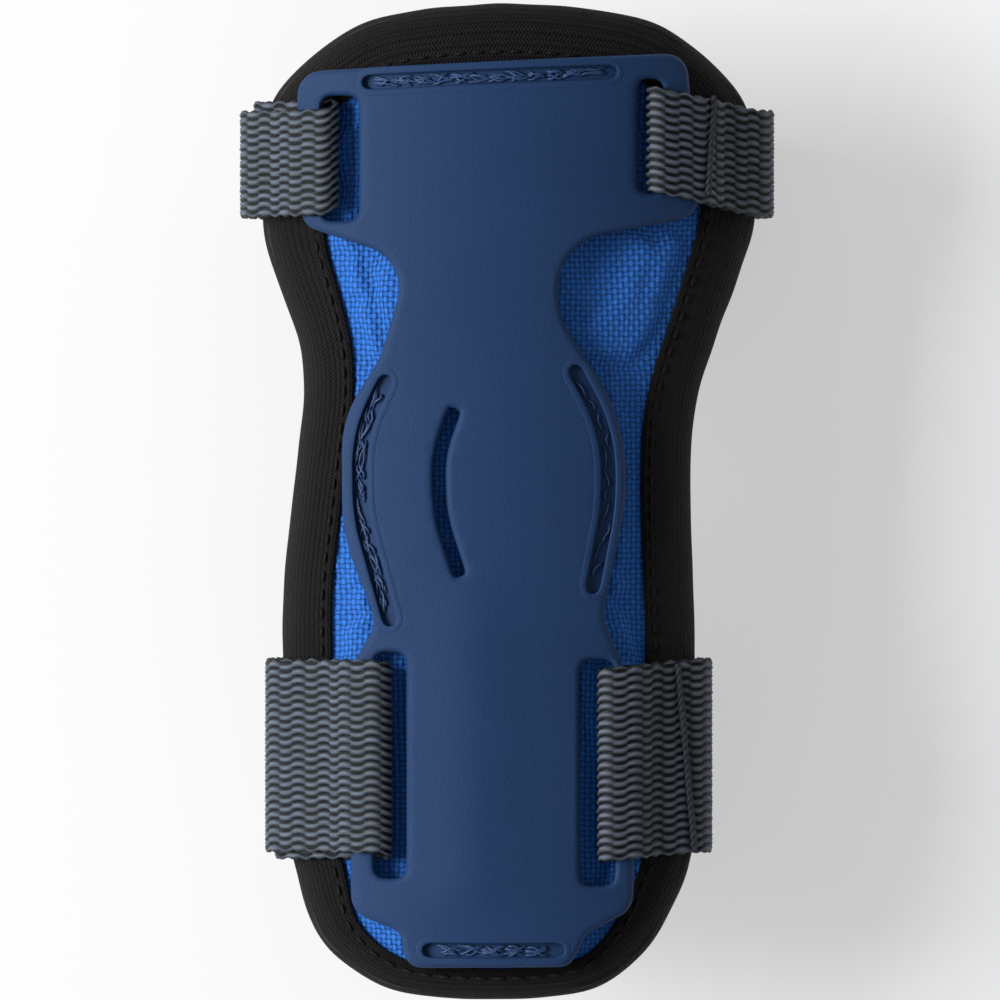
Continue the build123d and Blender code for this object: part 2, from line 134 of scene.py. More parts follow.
def new_mesh(name: str, points: np.ndarray, faces: Sequence[Sequence[int]],
             uvs: np.ndarray | None = None) -> bpy.types.Object:
    """Make a mesh object from points in millimetres.

    Args:
        name: The piece's name.
        points: One row (x, y, z) per vertex.
        faces: Vertex numbers of each face.
        uvs: One row (u, v) per vertex, or None.

    Returns:
        The new object, linked to the scene.
    """
    mesh = bpy.data.meshes.new(name)
    mesh.from_pydata((points * MM).tolist(), [], faces)
    if uvs is not None:
        mesh.uv_layers.new(name="UVMap")
        write_uvs(mesh, uvs)
    mesh.update()
    obj = bpy.data.objects.new(name, mesh)
    bpy.context.scene.collection.objects.link(obj)
    return obj


def write_uvs(mesh: bpy.types.Mesh, uvs: np.ndarray) -> None:
    """Write one (u, v) per vertex into a mesh's UV layer."""
    corners = np.zeros(len(mesh.loops), dtype=np.int32)
    mesh.loops.foreach_get("vertex_index", corners)
    mesh.uv_layers[0].data.foreach_set("uv", uvs[corners].astype(np.float32).ravel())


def grid_faces(rows: int, length: int, joined: bool, closed: bool) -> list[tuple[int, ...]]:
    """Return the faces between rows of vertices.

    Args:
        rows: How many rows there are.
        length: How many vertices each row has.
        joined: Whether the last row is joined to the first.
        closed: Whether each row closes on itself.

    Returns:
        Four vertex numbers per face.
    """
    faces = []
    for i in range(rows if joined else rows - 1):
        j = (i + 1) % rows
        for k in range(length if closed else length - 1):
            m = (k + 1) % length
            faces.append((i * length + k, i * length + m, j * length + m, j * length + k))
    return faces


def smooth(obj: bpy.types.Object, degrees: float | None = None) -> None:
    """Shade an object smooth, all over or below an angle."""
    activate(obj)
    if degrees is None:
        bpy.ops.object.shade_smooth()
    else:
        bpy.ops.object.shade_smooth_by_angle(angle=math.radians(degrees))


def face_outwards(obj: bpy.types.Object) -> None:
    """Merge doubles and turn every face outwards."""
    activate(obj)
    bpy.ops.object.mode_set(mode="EDIT")
    bpy.ops.mesh.select_all(action="SELECT")
    bpy.ops.mesh.remove_doubles(threshold=MERGE)
    bpy.ops.mesh.normals_make_consistent(inside=False)
    bpy.ops.object.mode_set(mode="OBJECT")


def vertices(obj: bpy.types.Object) -> np.ndarray:
    """Return an object's vertices in millimetres, one row each."""
    flat = np.zeros(3 * len(obj.data.vertices))
    obj.data.vertices.foreach_get("co", flat)
    return flat.reshape(-1, 3) / MM


def place_vertices(obj: bpy.types.Object, points: np.ndarray) -> None:
    """Move an object's vertices to points in millimetres."""
    obj.data.vertices.foreach_set("co", (points * MM).ravel())
    obj.data.update()


def join(objects: Sequence[bpy.types.Object], name: str) -> bpy.types.Object:
    """Join objects into the first one and name it."""
    deselect()
    for obj in objects:
        obj.select_set(True)
    bpy.context.view_layer.objects.active = objects[0]
    if len(objects) > 1:
        bpy.ops.object.join()
    objects[0].name = name
    objects[0].data.name = name
    return objects[0]


# Loops: closed outlines in the XY plane, read from the frame's own pieces

def loops_at(node: str, radius: float) -> list[np.ndarray]:
    """Find the outlines of a node's faces that lie on one radius of the arch.

    Args:
        node: The frame's node.
        radius: The radius about the arch axis, in millimetres.

    Returns:
        Closed loops of (x, y) in millimetres, the longest first.
    """
    mesh = bmesh.new()
    mesh.from_mesh(frame["nodes"][node].data)
    bmesh.ops.remove_doubles(mesh, verts=mesh.verts, dist=SKIN_MERGE)

    def on_skin(vert: bmesh.types.BMVert) -> bool:
        """Tell whether a vertex lies on the radius."""
        x, z = vert.co.x / MM, vert.co.z / MM
        return abs(math.hypot(x, z - AXIS_Z) - radius) < SKIN_TOLERANCE

    skin = {face for face in mesh.faces if all(on_skin(vert) for vert in face.verts)}
    border: dict[int, list[int]] = {}
    places = {}
    for edge in mesh.edges:
        if sum(face in skin for face in edge.link_faces) == 1:
            a, b = edge.verts
            border.setdefault(a.index, []).append(b.index)
            border.setdefault(b.index, []).append(a.index)
            places[a.index] = (a.co.x / MM, a.co.y / MM)
            places[b.index] = (b.co.x / MM, b.co.y / MM)
    mesh.free()
    loops, unseen = [], set(border)
    while unseen:
        first = current = min(unseen)
        loop, previous = [], None
        while True:
            loop.append(places[current])
            unseen.discard(current)
            onward = [v for v in border[current] if v != previous and v in unseen]
            if not onward:
                break
            previous, current = current, onward[0]
        if len(loop) > 3:
            loops.append(np.array(loop))
        unseen.discard(first)
    return sorted(loops, key=loop_length, reverse=True)


def loop_length(loop: np.ndarray) -> float:
    """Return the length round a closed loop."""
    return float(np.linalg.norm(np.roll(loop, -1, axis=0) - loop, axis=1).sum())


def counterclockwise(loop: np.ndarray) -> np.ndarray:
    """Return the loop, turned round if it runs clockwise."""
    x, y = loop[:, 0], loop[:, 1]
    area = float((x * np.roll(y, -1) - y * np.roll(x, -1)).sum())
    return loop if area > 0 else loop[::-1]


def resample(loop: np.ndarray, step: float) -> np.ndarray:
    """Return the loop with points at an even step."""
    closed = np.vstack([loop, loop[:1]])
    lengths = np.concatenate([[0], np.cumsum(np.linalg.norm(np.diff(closed, axis=0), axis=1))])
    count = max(8, int(round(lengths[-1] / step)))
    places = np.arange(count) / count * lengths[-1]
    return np.column_stack([np.interp(places, lengths, closed[:, i]) for i in (0, 1)])


def smoothed(loop: np.ndarray, reach: float, step: float) -> np.ndarray:
    """Return a dense counterclockwise loop with its facets rounded off.

    Args:
        loop: The closed loop.
        reach: Spread of the rounding, in millimetres.
        step: Distance between the points.

    Returns:
        The rounded loop.
    """
    even = resample(counterclockwise(loop), step)
    half = int(4 * reach / step)
    weights = np.exp(-0.5 * (np.arange(-half, half + 1) * step / reach) ** 2)
    weights /= weights.sum()
    return sum(weight * np.roll(even, offset, axis=0)
               for weight, offset in zip(weights, range(-half, half + 1)))


def inward(loop: np.ndarray) -> np.ndarray:
    """Return the unit normals that point into a counterclockwise loop."""
    along = np.roll(loop, -1, axis=0) - np.roll(loop, 1, axis=0)
    along /= np.linalg.norm(along, axis=1)[:, None]
    return np.column_stack([-along[:, 1], along[:, 0]])


def shifted(loop: np.ndarray, depth: float) -> np.ndarray:
    """Return a dense counterclockwise loop moved inward by a depth."""
    even = resample(counterclockwise(loop), SHIFT_STEP)
    return even + inward(even) * depth


def ease(values: np.ndarray) -> np.ndarray:
    """Return values clipped to 0..1 and eased at both ends."""
    clipped = np.clip(values, 0, 1)
    return clipped * clipped * (3 - 2 * clipped)


# Finishes

class Wiring:
    """Adds and links nodes in one node tree."""

    def __init__(self, tree: bpy.types.NodeTree) -> None:
        """Keep the tree."""
        self.tree = tree

    def add(self, kind: str, **settings: object) -> bpy.types.Node:
        """Return a new node with the given settings."""
        node = self.tree.nodes.new(kind)
        for key, value in settings.items():
            setattr(node, key, value)
        return node

    def link(self, source: bpy.types.NodeSocket, target: bpy.types.NodeSocket) -> None:
        """Link two sockets."""
        self.tree.links.new(source, target)

    def feed(self, target: bpy.types.NodeSocket, value: object) -> None:
        """Link a socket to an input, or set the input's value."""
        if isinstance(value, bpy.types.NodeSocket):
            self.link(value, target)
        elif target.type == "RGBA":
            target.default_value = (*value, 1)
        else:
            target.default_value = value

    def math(self, operation: str, a: object, b: object = 0.0) -> bpy.types.NodeSocket:
        """Return the result of a math node on two sockets or numbers."""
        node = self.add("ShaderNodeMath", operation=operation)
        self.feed(node.inputs[0], a)
        self.feed(node.inputs[1], b)
        return node.outputs[0]

    def wave(self, place: bpy.types.NodeSocket, pitch: float) -> bpy.types.NodeSocket:
        """Return a row of rounded humps, one per pitch."""
        turned = self.math("MULTIPLY", place, math.pi / pitch)
        return self.math("ABSOLUTE", self.math("SINE", turned))

    def coordinates(self, kind: str) -> bpy.types.NodeSocket:
        """Return the Object or UV coordinates."""
        return self.add("ShaderNodeTexCoord").outputs[kind]

    def effect(self, group: bpy.types.NodeTree, **values: object) -> bpy.types.NodeSocket:
        """Place a shared effect with its own values and return what it puts out."""
        node = self.add("ShaderNodeGroup", node_tree=group)
        for key, value in values.items():
            self.feed(node.inputs[key], value)
        return node.outputs[0]

    def bump(self, shader: bpy.types.Node, height: bpy.types.NodeSocket, distance: float,
             strength: float) -> None:
        """Bump the shader's normal by a height."""
        node = self.add("ShaderNodeBump")
        node.inputs["Strength"].default_value = strength
        node.inputs["Distance"].default_value = distance
        self.link(height, node.inputs["Height"])
        self.link(node.outputs["Normal"], shader.inputs["Normal"])


class Effects:
    """The effects that several finishes share, as node groups."""

    def __init__(self) -> None:
        """Build the groups."""
        self.grain = self.make_grain()
        self.tint = self.make_tint()

    @staticmethod
    def group(name: str, inputs: dict[str, str], output: str, kind: str) -> bpy.types.NodeTree:
        """Return a new node group with named sockets."""
        tree = bpy.data.node_groups.new(name, "ShaderNodeTree")
        for label, socket in inputs.items():
            tree.interface.new_socket(label, in_out="INPUT", socket_type=socket)
        tree.interface.new_socket(output, in_out="OUTPUT", socket_type=kind)
        return tree

    def make_grain(self) -> bpy.types.NodeTree:
        """Return a fine irregular grain of a chosen size."""
        tree = self.group("grain", {"Place": "NodeSocketVector", "Scale": "NodeSocketFloat",
                                    "Detail": "NodeSocketFloat"}, "Grain", "NodeSocketFloat")
        wiring = Wiring(tree)
        given, result = wiring.add("NodeGroupInput"), wiring.add("NodeGroupOutput")
        noise = wiring.add("ShaderNodeTexNoise")
        wiring.link(given.outputs["Place"], noise.inputs["Vector"])
        wiring.link(given.outputs["Scale"], noise.inputs["Scale"])
        wiring.link(given.outputs["Detail"], noise.inputs["Detail"])
        wiring.link(noise.outputs["Fac"], result.inputs["Grain"])
        return tree

    def make_tint(self) -> bpy.types.NodeTree:
        """Return a colour made darker at 0 and lighter at 1."""
        tree = self.group("tint", {"Colour": "NodeSocketColor", "Value": "NodeSocketFloat",
                                   "Dark": "NodeSocketFloat", "Light": "NodeSocketFloat"},
                          "Tint", "NodeSocketColor")
        wiring = Wiring(tree)
        given, result = wiring.add("NodeGroupInput"), wiring.add("NodeGroupOutput")
        span = wiring.math("SUBTRACT", given.outputs["Light"], given.outputs["Dark"])
        level = wiring.math("ADD", given.outputs["Dark"],
                            wiring.math("MULTIPLY", span, given.outputs["Value"]))
        scaled = wiring.add("ShaderNodeVectorMath", operation="SCALE")
        wiring.link(given.outputs["Colour"], scaled.inputs[0])
        wiring.link(level, scaled.inputs["Scale"])
        wiring.link(scaled.outputs[0], result.inputs["Tint"])
        return tree


@dataclass(frozen=True)
class Finish:
    """A material's name, colour and gloss.

    Args:
        name: The material's name.
        color: Linear base colour.
        roughness: Roughness of the surface.
        specular: Level of its reflection.
        sheen: Weight of its fibre sheen.
        shade: How dark and how light the colour gets, as shares of it; random tone on the plastic and
            napped finishes, painted shade and painted highlight on the woven and knitted ones.
        relief: Height of the bumps, in metres.
    """

    name: str
    color: tuple[float, float, float]
    roughness: float = 0.6
    specular: float = 0.5
    sheen: float = 0.0
    shade: tuple[float, float] = (1.0, 1.0)
    relief: float = 0.0

    def material(self, effects: Effects) -> bpy.types.Material:
        """Return the material with its surface detail."""
        material = bpy.data.materials.new(self.name)
        material.use_nodes = True
        shader = material.node_tree.nodes["Principled BSDF"]
        shader.inputs["Base Color"].default_value = (*self.color, 1)
        shader.inputs["Roughness"].default_value = self.roughness
        shader.inputs["Specular IOR Level"].default_value = self.specular
        shader.inputs["Sheen Weight"].default_value = self.sheen
        self.detail(Wiring(material.node_tree), shader, effects)
        return material

    def detail(self, wiring: Wiring, shader: bpy.types.Node, effects: Effects) -> None:
        """Add the surface's own detail; a plain finish has none."""

    def colour(self, wiring: Wiring, shader: bpy.types.Node, effects: Effects,
               value: bpy.types.NodeSocket) -> None:
        """Vary the base colour from the dark shade at 0 to the light one at 1."""
        tint = wiring.effect(effects.tint, Colour=self.color, Value=value,
                             Dark=self.shade[0], Light=self.shade[1])
        wiring.link(tint, shader.inputs["Base Color"])


@dataclass(frozen=True)
class Moulded(Finish):
    """Plastic with a fine pebbled grain."""

    shade: tuple[float, float] = (0.92, 1.08)
    relief: float = 0.00006
    pebbles: float = 2300
    finer: float = 1.3
    blotches: float = 70.0
    wear: float = 900.0
    unevenness: float = 0.1

    def detail(self, wiring: Wiring, shader: bpy.types.Node, effects: Effects) -> None:
        """Add the pebbles and faint blotches."""
        place = wiring.coordinates("Object")
        cells = wiring.add("ShaderNodeTexVoronoi", feature="SMOOTH_F1")
        cells.inputs["Scale"].default_value = self.pebbles
        wiring.link(place, cells.inputs["Vector"])
        fine = wiring.effect(effects.grain, Place=place, Scale=self.pebbles * self.finer,
                             Detail=3.0)
        height = wiring.math("SUBTRACT", fine, cells.outputs["Distance"])
        wiring.bump(shader, height, self.relief, 0.5)
        blotch = wiring.effect(effects.grain, Place=place, Scale=self.blotches, Detail=3.0)
        self.colour(wiring, shader, effects, blotch)
        rough = wiring.effect(effects.grain, Place=place, Scale=self.wear, Detail=2.0)
        rough = wiring.math("MULTIPLY", rough, self.unevenness)
        wiring.link(wiring.math("ADD", self.roughness - self.unevenness / 2, rough),
                    shader.inputs["Roughness"])


@dataclass(frozen=True)
class PlainWeave(Finish):
    """Cloth of yarns that cross one over one, with painted shade between the yarns."""

    shade: tuple[float, float] = (0.3, 1.3)
    relief: float = 0.0003
    yarn: float = 0.84
    flatness: float = 0.35
    weft_level: float = 0.72
    fuzz_scale: float = 6.0
    fuzz_height: float = 0.2
    yarn_painted_shade: float = 0.9
    fuzz_tone: float = 0.35

    def detail(self, wiring: Wiring, shader: bpy.types.Node, effects: Effects) -> None:
        """Add the yarns as bumps and as painted shade, by the flat cloth's own measure."""
        place = wiring.coordinates("UV")
        split = wiring.add("ShaderNodeSeparateXYZ")
        wiring.link(place, split.inputs[0])
        sides = []
        for axis in ("X", "Y"):
            turned = wiring.math("MULTIPLY", split.outputs[axis], math.pi / self.yarn)
            sides.append((wiring.math("ABSOLUTE", wiring.math("SINE", turned)),
                          wiring.math("SIGN", wiring.math("SINE", turned))))
        (warp, first), (weft, second) = sides
        over = wiring.math("GREATER_THAN", wiring.math("MULTIPLY", first, second), 0.0)
        under = wiring.math("SUBTRACT", 1.0, over)
        upright = wiring.math("MULTIPLY", over, wiring.math("POWER", warp, self.flatness))
        level = wiring.math("MULTIPLY", under, wiring.math("POWER", weft, self.flatness))
        crown = wiring.math("MAXIMUM", upright, wiring.math("MULTIPLY", level, self.weft_level))
        hole = wiring.math("MULTIPLY", wiring.math("SUBTRACT", 1.0, warp),
                           wiring.math("SUBTRACT", 1.0, weft))
        height = wiring.math("MULTIPLY", crown, wiring.math("SUBTRACT", 1.0, hole))
        fuzz = wiring.effect(effects.grain, Place=place, Scale=self.fuzz_scale, Detail=3.0)
        fuzzy = wiring.math("ADD", height, wiring.math("MULTIPLY", fuzz, self.fuzz_height))
        wiring.bump(shader, fuzzy, self.relief, 1.0)
        # Painted shade: the colour follows the weave's height, dark in the gaps and holes between the
        # yarns and light on the yarn crowns; the fuzz adds random tone.
        tone = wiring.math("ADD", wiring.math("MULTIPLY", height, self.yarn_painted_shade),
                           wiring.math("MULTIPLY", fuzz, self.fuzz_tone))
        self.colour(wiring, shader, effects, tone)


@dataclass(frozen=True)
class Knit(Finish):
    """Tape knitted in fine chevrons that run along it."""

    shade: tuple[float, float] = (0.3, 2.0)
    relief: float = 0.0004
    column: float = 0.85
    stitch: float = 0.62
    slant: float = 0.9
    wander_scale: float = 0.7
    wander: float = 0.35
    furrow: float = 0.45
    fuzz_scale: float = 5.0
    rib_height: float = 0.7
    fuzz_height: float = 0.6

    def detail(self, wiring: Wiring, shader: bpy.types.Node, effects: Effects) -> None:
        """Add the chevrons as bumps and as painted shade and highlight, by the tape's own measure."""
        place = wiring.coordinates("UV")
        split = wiring.add("ShaderNodeSeparateXYZ")
        wiring.link(place, split.inputs[0])
        wander = wiring.effect(effects.grain, Place=place, Scale=self.wander_scale, Detail=2.0)
        across = wiring.math("ADD", split.outputs["Y"],
                             wiring.math("MULTIPLY", wander, self.wander))
        lean = wiring.math("MULTIPLY", wiring.math("PINGPONG", across, self.column), self.slant)
        rib = wiring.wave(wiring.math("ADD", split.outputs["X"], lean), self.stitch)
        furrow = wiring.math("POWER", wiring.wave(across, self.column), self.furrow)
        fuzz = wiring.effect(effects.grain, Place=place, Scale=self.fuzz_scale, Detail=4.0)
        raised = wiring.math("ADD", wiring.math("MULTIPLY", rib, self.rib_height),
                             wiring.math("MULTIPLY", fuzz, self.fuzz_height))
        height = wiring.math("MULTIPLY", raised, furrow)
        wiring.bump(shader, height, self.relief, 1.0)
        # Painted shade and highlight: the colour follows the height, dark in the furrows between the
        # columns and light on the rib crests; the fuzz adds random tone.
        self.colour(wiring, shader, effects, height)


@dataclass(frozen=True)
class WovenStrap(Finish):
    """Webbing with painted shade in the gaps between its floats and painted light on the floats."""

    shade: tuple[float, float] = (0.03, 1.35)
    relief: float = 0.00012
    stretch: Corner = (0.5, 7.0, 1.0)
    fibre_scale: float = 1.2
    shade_power: float = 1.5
    least_streak: float = 0.45
    streak: float = 1.1

    def detail(self, wiring: Wiring, shader: bpy.types.Node, effects: Effects) -> None:
        """Add the fibres of the floats, and paint shade into the gaps between them."""
        place = wiring.coordinates("UV")
        stretched = wiring.add("ShaderNodeMapping")
        stretched.inputs["Scale"].default_value = self.stretch
        wiring.link(place, stretched.inputs["Vector"])
        fibres = wiring.effect(effects.grain, Place=stretched.outputs[0],
                               Scale=self.fibre_scale, Detail=3.0)
        # Painted shade: the colour follows the float height read here, near black in the gaps and
        # light on the float crowns; the fibre streaks are random tone.
        height = wiring.add("ShaderNodeAttribute", attribute_name="weave_height").outputs["Fac"]
        crown = wiring.math("POWER", height, self.shade_power)
        streak = wiring.math("ADD", self.least_streak,
                             wiring.math("MULTIPLY", fibres, self.streak))
        self.colour(wiring, shader, effects, wiring.math("MULTIPLY", crown, streak))
        wiring.bump(shader, fibres, self.relief, 1.0)


@dataclass(frozen=True)
class Napped(Finish):
    """Thread, foam, pile or brushed cloth with one size of grain."""

    shade: tuple[float, float] = (0.4, 1.7)
    relief: float = 0.0003
    grain: float = 900

    def detail(self, wiring: Wiring, shader: bpy.types.Node, effects: Effects) -> None:
        """Add the grain."""
        place = wiring.coordinates("Object")
        tone = wiring.effect(effects.grain, Place=place, Scale=self.grain, Detail=4.0)
        self.colour(wiring, shader, effects, tone)
        wiring.bump(shader, tone, self.relief, 0.8)


BLACK = (0.006, 0.0055, 0.006)


@dataclass(frozen=True)
class Paper(Finish):
    """Pale paper that glows a little, so that shadows on it stay light."""

    glow: float = 0.46

    def detail(self, wiring: Wiring, shader: bpy.types.Node, effects: Effects) -> None:
        """Add the glow."""
        shader.inputs["Emission Color"].default_value = (1, 1, 1, 1)
        shader.inputs["Emission Strength"].default_value = self.glow


FLOOR = Paper("floor_paper", (0.57, 0.57, 0.57), 0.95, 0.0)


class Finishes:
    """Every material of the guard."""

    def __init__(self) -> None:
        """Build all the materials."""
        self.effects = effects = Effects()
        self.plate = Moulded("moulded_blue", (0.0165, 0.046, 0.128), 0.6, 0.14).material(effects)
        self.cloth = PlainWeave("bright_cloth", (0.028, 0.145, 0.53), 0.8, 0.15).material(effects)
        self.binding = Knit("black_knit", BLACK, 0.85, 0.25).material(effects)
        self.webbing = WovenStrap("grey_webbing", (0.092, 0.112, 0.146), 0.6, 0.3).material(
            effects)
        self.blue_thread = Napped("blue_thread", (0.022, 0.060, 0.165), 0.5, 0.5, grain=2500,
                                  relief=0.0001).material(effects)
        self.grey_thread = Napped("grey_thread", (0.030, 0.033, 0.045), 0.6, 0.3, grain=2200,
                                  relief=0.0001).material(effects)
        self.black_thread = Napped("black_thread", BLACK, 0.7, 0.2, grain=2200,
                                   relief=0.0001).material(effects)
        self.lining = Napped("lining_knit", (0.014, 0.014, 0.016), 0.95, 0.2,
                             0.15, grain=1300).material(effects)
        self.foam = Napped("dark_foam", (0.03, 0.03, 0.032), 0.95, 0.2, grain=700).material(
            effects)
        self.loop = Napped("loop_pile", (0.016, 0.016, 0.018), 0.95, 0.2,
                           0.25, grain=1500).material(effects)
        self.hook = Napped("hook_tape", (0.014, 0.014, 0.016), 0.5, 0.4, grain=1200).material(
            effects)


def dress(obj: bpy.types.Object, material: bpy.types.Material) -> None:
    """Give an object one material."""
    obj.data.materials.clear()
    obj.data.materials.append(material)


def dress_node(node: str, material: bpy.types.Material) -> None:
    """Give a frame node's material slots one material."""
    for place in frame["nodes"][node].material_slots:
        place.material = material


def put_on_guard(piece: bpy.types.Object, material: bpy.types.Material, node: str) -> bpy.types.Object:
    """Finish a piece that rides the guard's own body.

    Args:
        piece: The new piece.
        material: Its material.
        node: The frame's node that it replaces.

    Returns:
        The piece.
    """
    dress(piece, material)
    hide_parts(node)
    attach(piece, "guard")
    return piece


# Splint plate

@dataclass
class SplintPlate:
    """The moulded plate, with soft edges, slots for the straps and sewn grooves."""

    finishes: Finishes
    edge_round: float = 0.85
    groove_round: float = 0.3
    groove_border: float = 1.25
    groove_lip: float = 0.05
    trough_wall: float = 0.8
    border_seat: float = 0.1
    wall_top: float = 1.0
    wall_round: float = 0.1
    floor_overlap: float = 0.3
    seat_gap: float = 0.1
    facet_round: float = 0.5
    cut_step: float = 1.2
    outline_step: float = 0.8
    crease: float = 40
    ridge_x: float = -6.0
    ridge_width: float = 7.0
    ridge_height: float = 0.7
    ridge_top: float = -8.0
    ridge_top_fade: float = 14.0
    ridge_foot: float = -70.0
    ridge_foot_fade: float = 10.0
    tight_slot: Point = (18.0, 50.0)
    tight_slot_top: float = 67.9

    def build(self) -> list[bpy.types.Object]:
        """Build the plate and return it in a list."""
        grooves = loops_at("splint_plate", CLOTH_RADIUS + GROOVE_FLOOR)
        loops = loops_at("splint_plate", PLATE_OUTER)
        openings = [self.fitted(loop) for loop in loops[1:]]
        outlines = [smoothed(loop, self.facet_round, self.outline_step)
                    for loop in (loops[0], *openings)]
        parts = [self.slab("plate_body", outlines, 0.0, PLATE_THICKNESS, self.edge_round)]
        seat = CLOTH_RADIUS - PLATE_INNER + self.seat_gap
        floor_top = PLATE_THICKNESS - GROOVE_DEPTH
        for number, groove in enumerate(grooves):
            opening = smoothed(groove, self.facet_round, self.outline_step)
            border = shifted(opening, -self.groove_border)
            parts.append(self.slab(f"groove_border_{number}", [border, opening],
                                   self.border_seat,
                                   PLATE_THICKNESS - self.border_seat + self.groove_lip,
                                   self.groove_round))
            wall = shifted(opening, -self.trough_wall)
            parts.append(self.slab(f"trough_wall_{number}", [wall, opening], seat,
                                   self.wall_top - seat, self.wall_round))
            floor = shifted(opening, -self.floor_overlap)
            parts.append(self.slab(f"groove_floor_{number}", [floor], seat,
                                   floor_top - seat, 0.0))
        plate = join(parts, "plate")
        self.bend(plate)
        smooth(plate, self.crease)
        return [put_on_guard(plate, self.finishes.plate, "splint_plate")]

    def fitted(self, loop: np.ndarray) -> np.ndarray:
        """Return an opening's outline, lowered where it stands above the strap."""
        middle = loop.mean(axis=0)
        if middle[0] < self.tight_slot[0] or middle[1] < self.tight_slot[1]:
            return loop
        low, high = loop[:, 1].min(), loop[:, 1].max()
        closer = loop.copy()
        closer[:, 1] = low + (loop[:, 1] - low) * (self.tight_slot_top - low) / (high - low)
        return closer

    @staticmethod
    def slab(name: str, loops: Iterable[np.ndarray], low: float, height: float,
             rounding: float) -> bpy.types.Object:
        """Return a flat slab with holes and rounded edges, made of filled outlines.

        Args:
            name: The piece's name.
            loops: The outline first, then its holes, in millimetres.
            low: Height of the slab's underside above the plate's underside.
            height: The slab's thickness.
            rounding: Radius of its edges.

        Returns:
            The slab, still flat.
        """
        curve = bpy.data.curves.new(name, "CURVE")
        curve.dimensions = "2D"
        curve.fill_mode = "BOTH"
        for loop in loops:
            spline = curve.splines.new("POLY")
            spline.points.add(len(loop) - 1)
            for point, (x, y) in zip(spline.points, loop):
                point.co = (x * MM, y * MM, 0, 1)
            spline.use_cyclic_u = True
        curve.extrude = (height / 2 - rounding) * MM
        curve.bevel_depth = rounding * MM
        curve.bevel_resolution = 2
        curve.offset = -rounding * MM
        obj = bpy.data.objects.new(name, curve)
        bpy.context.scene.collection.objects.link(obj)
        activate(obj)
        bpy.ops.object.convert(target="MESH")
        points = vertices(obj)
        points[:, 2] += low + height / 2
        place_vertices(obj, points)
        face_outwards(obj)
        return obj

    def bend(self, obj: bpy.types.Object) -> None:
        """Cut a flat piece across and wrap it round the arch."""
        points = vertices(obj)
        low, high = points[:, 0].min(), points[:, 0].max()
        activate(obj)
        bpy.ops.object.mode_set(mode="EDIT")
        for x in np.arange(low + self.cut_step, high, self.cut_step):
            bpy.ops.mesh.select_all(action="SELECT")
            bpy.ops.mesh.bisect(plane_co=(x * MM, 0, 0), plane_no=(1, 0, 0))
        bpy.ops.object.mode_set(mode="OBJECT")
        points = vertices(obj)
        crown = np.exp(-((points[:, 0] - self.ridge_x) / self.ridge_width) ** 2)
        ridge = self.ridge_height * crown * ease(
            (self.ridge_top - points[:, 1]) / self.ridge_top_fade)
        ridge *= ease((points[:, 1] - self.ridge_foot) / self.ridge_foot_fade)
        ridge *= points[:, 2] > 0
        radius = PLATE_INNER + points[:, 2] + ridge
        points[:, 2] = AXIS_Z + np.sqrt(radius**2 - points[:, 0] ** 2)
        place_vertices(obj, points)


# Pad

class Side(Enum):
    """The stretches of the binding's section."""

    TOP = "top"
    EDGE = "edge"
    BOTTOM = "bottom"


